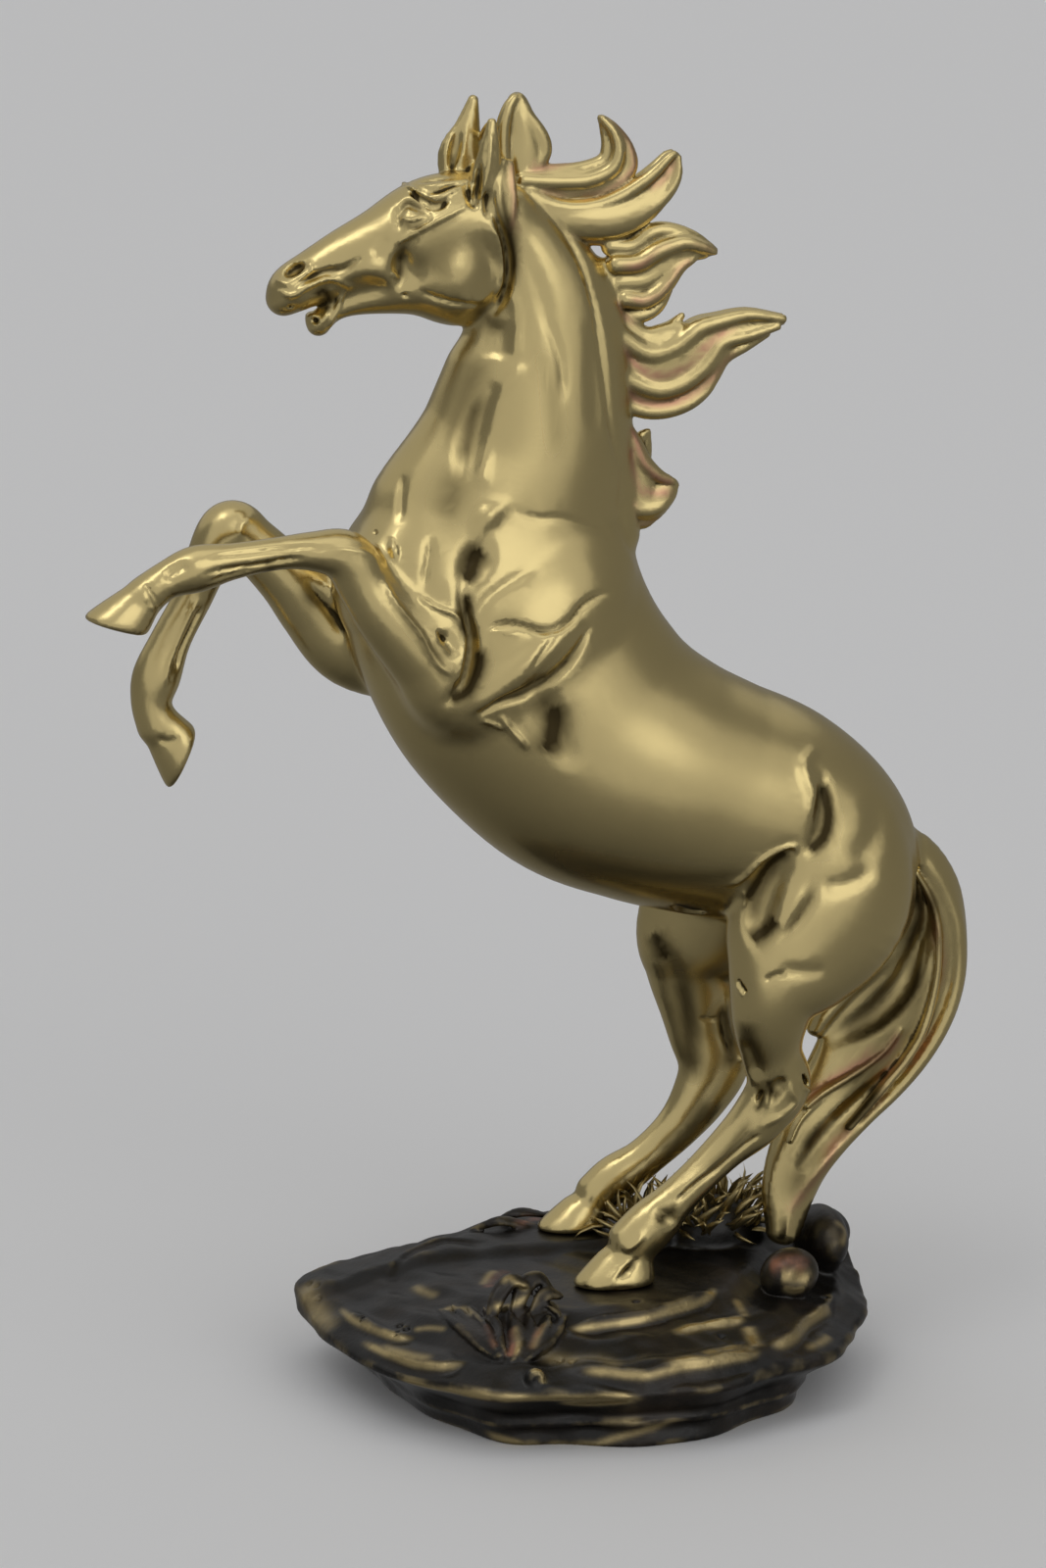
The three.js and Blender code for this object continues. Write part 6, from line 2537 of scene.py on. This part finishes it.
@dataclass
class GrassTuft:
    """Grass behind the hind hooves: blades that stand out of two mounds.

    Args:
        mounds: Centre and half sizes of each mound.
        density: Blades per square metre of mound.
        length: Length of a blade, in metres.
        seed: Choice of their places and turns.
    """

    mounds: Sequence[tuple[Point, Point]] = (
        ((33, 8, FAR_TOP), (14, 9, 10)),
        ((17, 9, FAR_TOP), (9, 8, 6)),
    )
    density: float = 260000.0
    length: float = 0.0085
    seed: int = 7

    def blade(self) -> bpy.types.Object:
        """Makes one closed, bent blade, a metre long."""
        rings = [(0.0, 0.0, 0.09), (0.3, 0.02, 0.12), (0.6, 0.12, 0.1), (0.85, 0.32, 0.06)]
        points = [(0, -0.02, -0.05)]
        for rise, lean, half in rings:
            thick = 0.4 * half
            points += [(-half, lean, rise), (0, lean - thick, rise), (half, lean, rise)]
            points.append((0, lean + thick, rise))
        points.append((0, 0.55, 1.0))
        faces = [(0, 1 + (n + 1) % 4, 1 + n) for n in range(4)]
        for ring in range(len(rings) - 1):
            low = 1 + 4 * ring
            faces += [
                (low + n, low + (n + 1) % 4, low + 4 + (n + 1) % 4, low + 4 + n)
                for n in range(4)
            ]
        last = len(points) - 1
        faces += [(last - 4 + n, last - 4 + (n + 1) % 4, last) for n in range(4)]
        data = bpy.data.meshes.new("blade")
        data.from_pydata(points, [], faces)
        data.validate()
        return bpy.data.objects.new("blade", data)

    def mound(self) -> bpy.types.Object:
        """Makes the upper halves of the mounds that the blades grow from."""
        points, faces = [], []
        rows, sides = 6, 16
        for centre, sizes in self.mounds:
            start = len(points)
            for row in range(rows):
                tilt = math.radians(8 + 76 * row / (rows - 1))
                for side in range(sides):
                    turn = math.tau * side / sides
                    flat = math.cos(tilt)
                    unit = (math.cos(turn) * flat, math.sin(turn) * flat, math.sin(tilt))
                    points.append([(c + 0.8 * r * u) * MM for c, r, u in zip(centre, sizes, unit)])
            for row in range(rows - 1):
                for side in range(sides):
                    a, b = start + row * sides + side, start + row * sides + (side + 1) % sides
                    faces.append((a, b, b + sides, a + sides))
        data = bpy.data.meshes.new("grass_mound")
        data.from_pydata(points, [], faces)
        return bpy.data.objects.new("grass_tuft", data)

    def tree(self) -> bpy.types.NodeTree:
        """Builds the nodes that plant the blades."""
        tree = bpy.data.node_groups.new("planted_blades", "GeometryNodeTree")
        face = tree.interface
        face.new_socket("Geometry", in_out="INPUT", socket_type="NodeSocketGeometry")
        face.new_socket("Blade", in_out="INPUT", socket_type="NodeSocketObject")
        for label in ("Density", "Length"):
            face.new_socket(label, in_out="INPUT", socket_type="NodeSocketFloat")
        face.new_socket("Seed", in_out="INPUT", socket_type="NodeSocketInt")
        face.new_socket("Finish", in_out="INPUT", socket_type="NodeSocketMaterial")
        face.new_socket("Geometry", in_out="OUTPUT", socket_type="NodeSocketGeometry")

        def add(kind: str, links: dict[str, bpy.types.NodeSocket]) -> bpy.types.Node:
            """Adds a node and links its inputs by name."""
            made = tree.nodes.new(kind)
            for name, socket in links.items():
                tree.links.new(socket, made.inputs[name])
            return made

        given = tree.nodes.new("NodeGroupInput").outputs
        spread = add(
            "GeometryNodeDistributePointsOnFaces",
            {"Mesh": given["Geometry"], "Density": given["Density"], "Seed": given["Seed"]},
        )
        shape = add("GeometryNodeObjectInfo", {"Object": given["Blade"]})
        spin = add("FunctionNodeRandomValue", {"Seed": given["Seed"]})
        spin.data_type = "FLOAT_VECTOR"
        spin.inputs["Min"].default_value = (-0.45, -0.45, -3.14)
        spin.inputs["Max"].default_value = (0.45, 0.45, 3.14)
        turn = add(
            "FunctionNodeRotateRotation",
            {"Rotation": spread.outputs["Rotation"], "Rotate By": spin.outputs[0]},
        )
        turn.rotation_space = "LOCAL"
        size = add("FunctionNodeRandomValue", {"Seed": given["Seed"]})
        size.inputs[2].default_value, size.inputs[3].default_value = 0.65, 1.25
        scaled = add("ShaderNodeMath", {})
        scaled.operation = "MULTIPLY"
        tree.links.new(size.outputs[1], scaled.inputs[0])
        tree.links.new(given["Length"], scaled.inputs[1])
        planted = add(
            "GeometryNodeInstanceOnPoints",
            {
                "Points": spread.outputs["Points"],
                "Instance": shape.outputs["Geometry"],
                "Rotation": turn.outputs[0],
                "Scale": scaled.outputs[0],
            },
        )
        real = add("GeometryNodeRealizeInstances", {"Geometry": planted.outputs[0]})
        painted = add(
            "GeometryNodeSetMaterial", {"Geometry": real.outputs[0], "Material": given["Finish"]}
        )
        out = tree.nodes.new("NodeGroupOutput")
        tree.links.new(painted.outputs[0], out.inputs[0])
        return tree

    def build(self, finish: bpy.types.Material) -> bpy.types.Object:
        """Plants the blades and turns them into a plain mesh.

        Args:
            finish: Their material.

        Returns:
            The tuft's object.
        """
        piece, blade = self.mound(), self.blade()
        for made in (piece, blade):
            bpy.context.scene.collection.objects.link(made)
        planting = piece.modifiers.new("planting", "NODES")
        planting.node_group = self.tree()
        given = {
            "Blade": blade,
            "Density": self.density,
            "Length": self.length,
            "Seed": self.seed,
            "Finish": finish,
        }
        for item in planting.node_group.interface.items_tree:
            if item.in_out == "INPUT" and item.name in given:
                planting[item.identifier] = given[item.name]
        graph = bpy.context.evaluated_depsgraph_get()
        data = bpy.data.meshes.new_from_object(piece.evaluated_get(graph))
        piece.modifiers.remove(planting)
        piece.data = data
        bpy.data.objects.remove(blade)
        data.shade_smooth()
        LOG.info("grass tuft: %d faces", len(data.polygons))
        return piece


def main() -> None:
    """Builds each piece, dresses it and sets up the studio."""
    logging.basicConfig(level=logging.INFO, format="%(message)s")
    Studio().build()
    horse = GiltHorse(grain=0.45)
    piece = horse.build()
    piece.data.materials.append(Gilding().make())
    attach(piece, BODY)
    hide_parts("horse")
    rock = RockPlinth(grain=0.62).build()
    rock.data.materials.append(Patina().make())
    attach(rock, BODY)
    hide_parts("rock_base")
    dull = Gilding(name="grass_gilding", gold=(0.52, 0.42, 0.2, 1), roughness=0.42)
    grass = GrassTuft().build(dull.make())
    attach(grass, BODY)
    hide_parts("rock_base")
    for made in (piece, rock, grass):
        LOG.info("%s: %d faces", made.name, len(made.data.polygons))


if __name__ == "__main__":
    main()
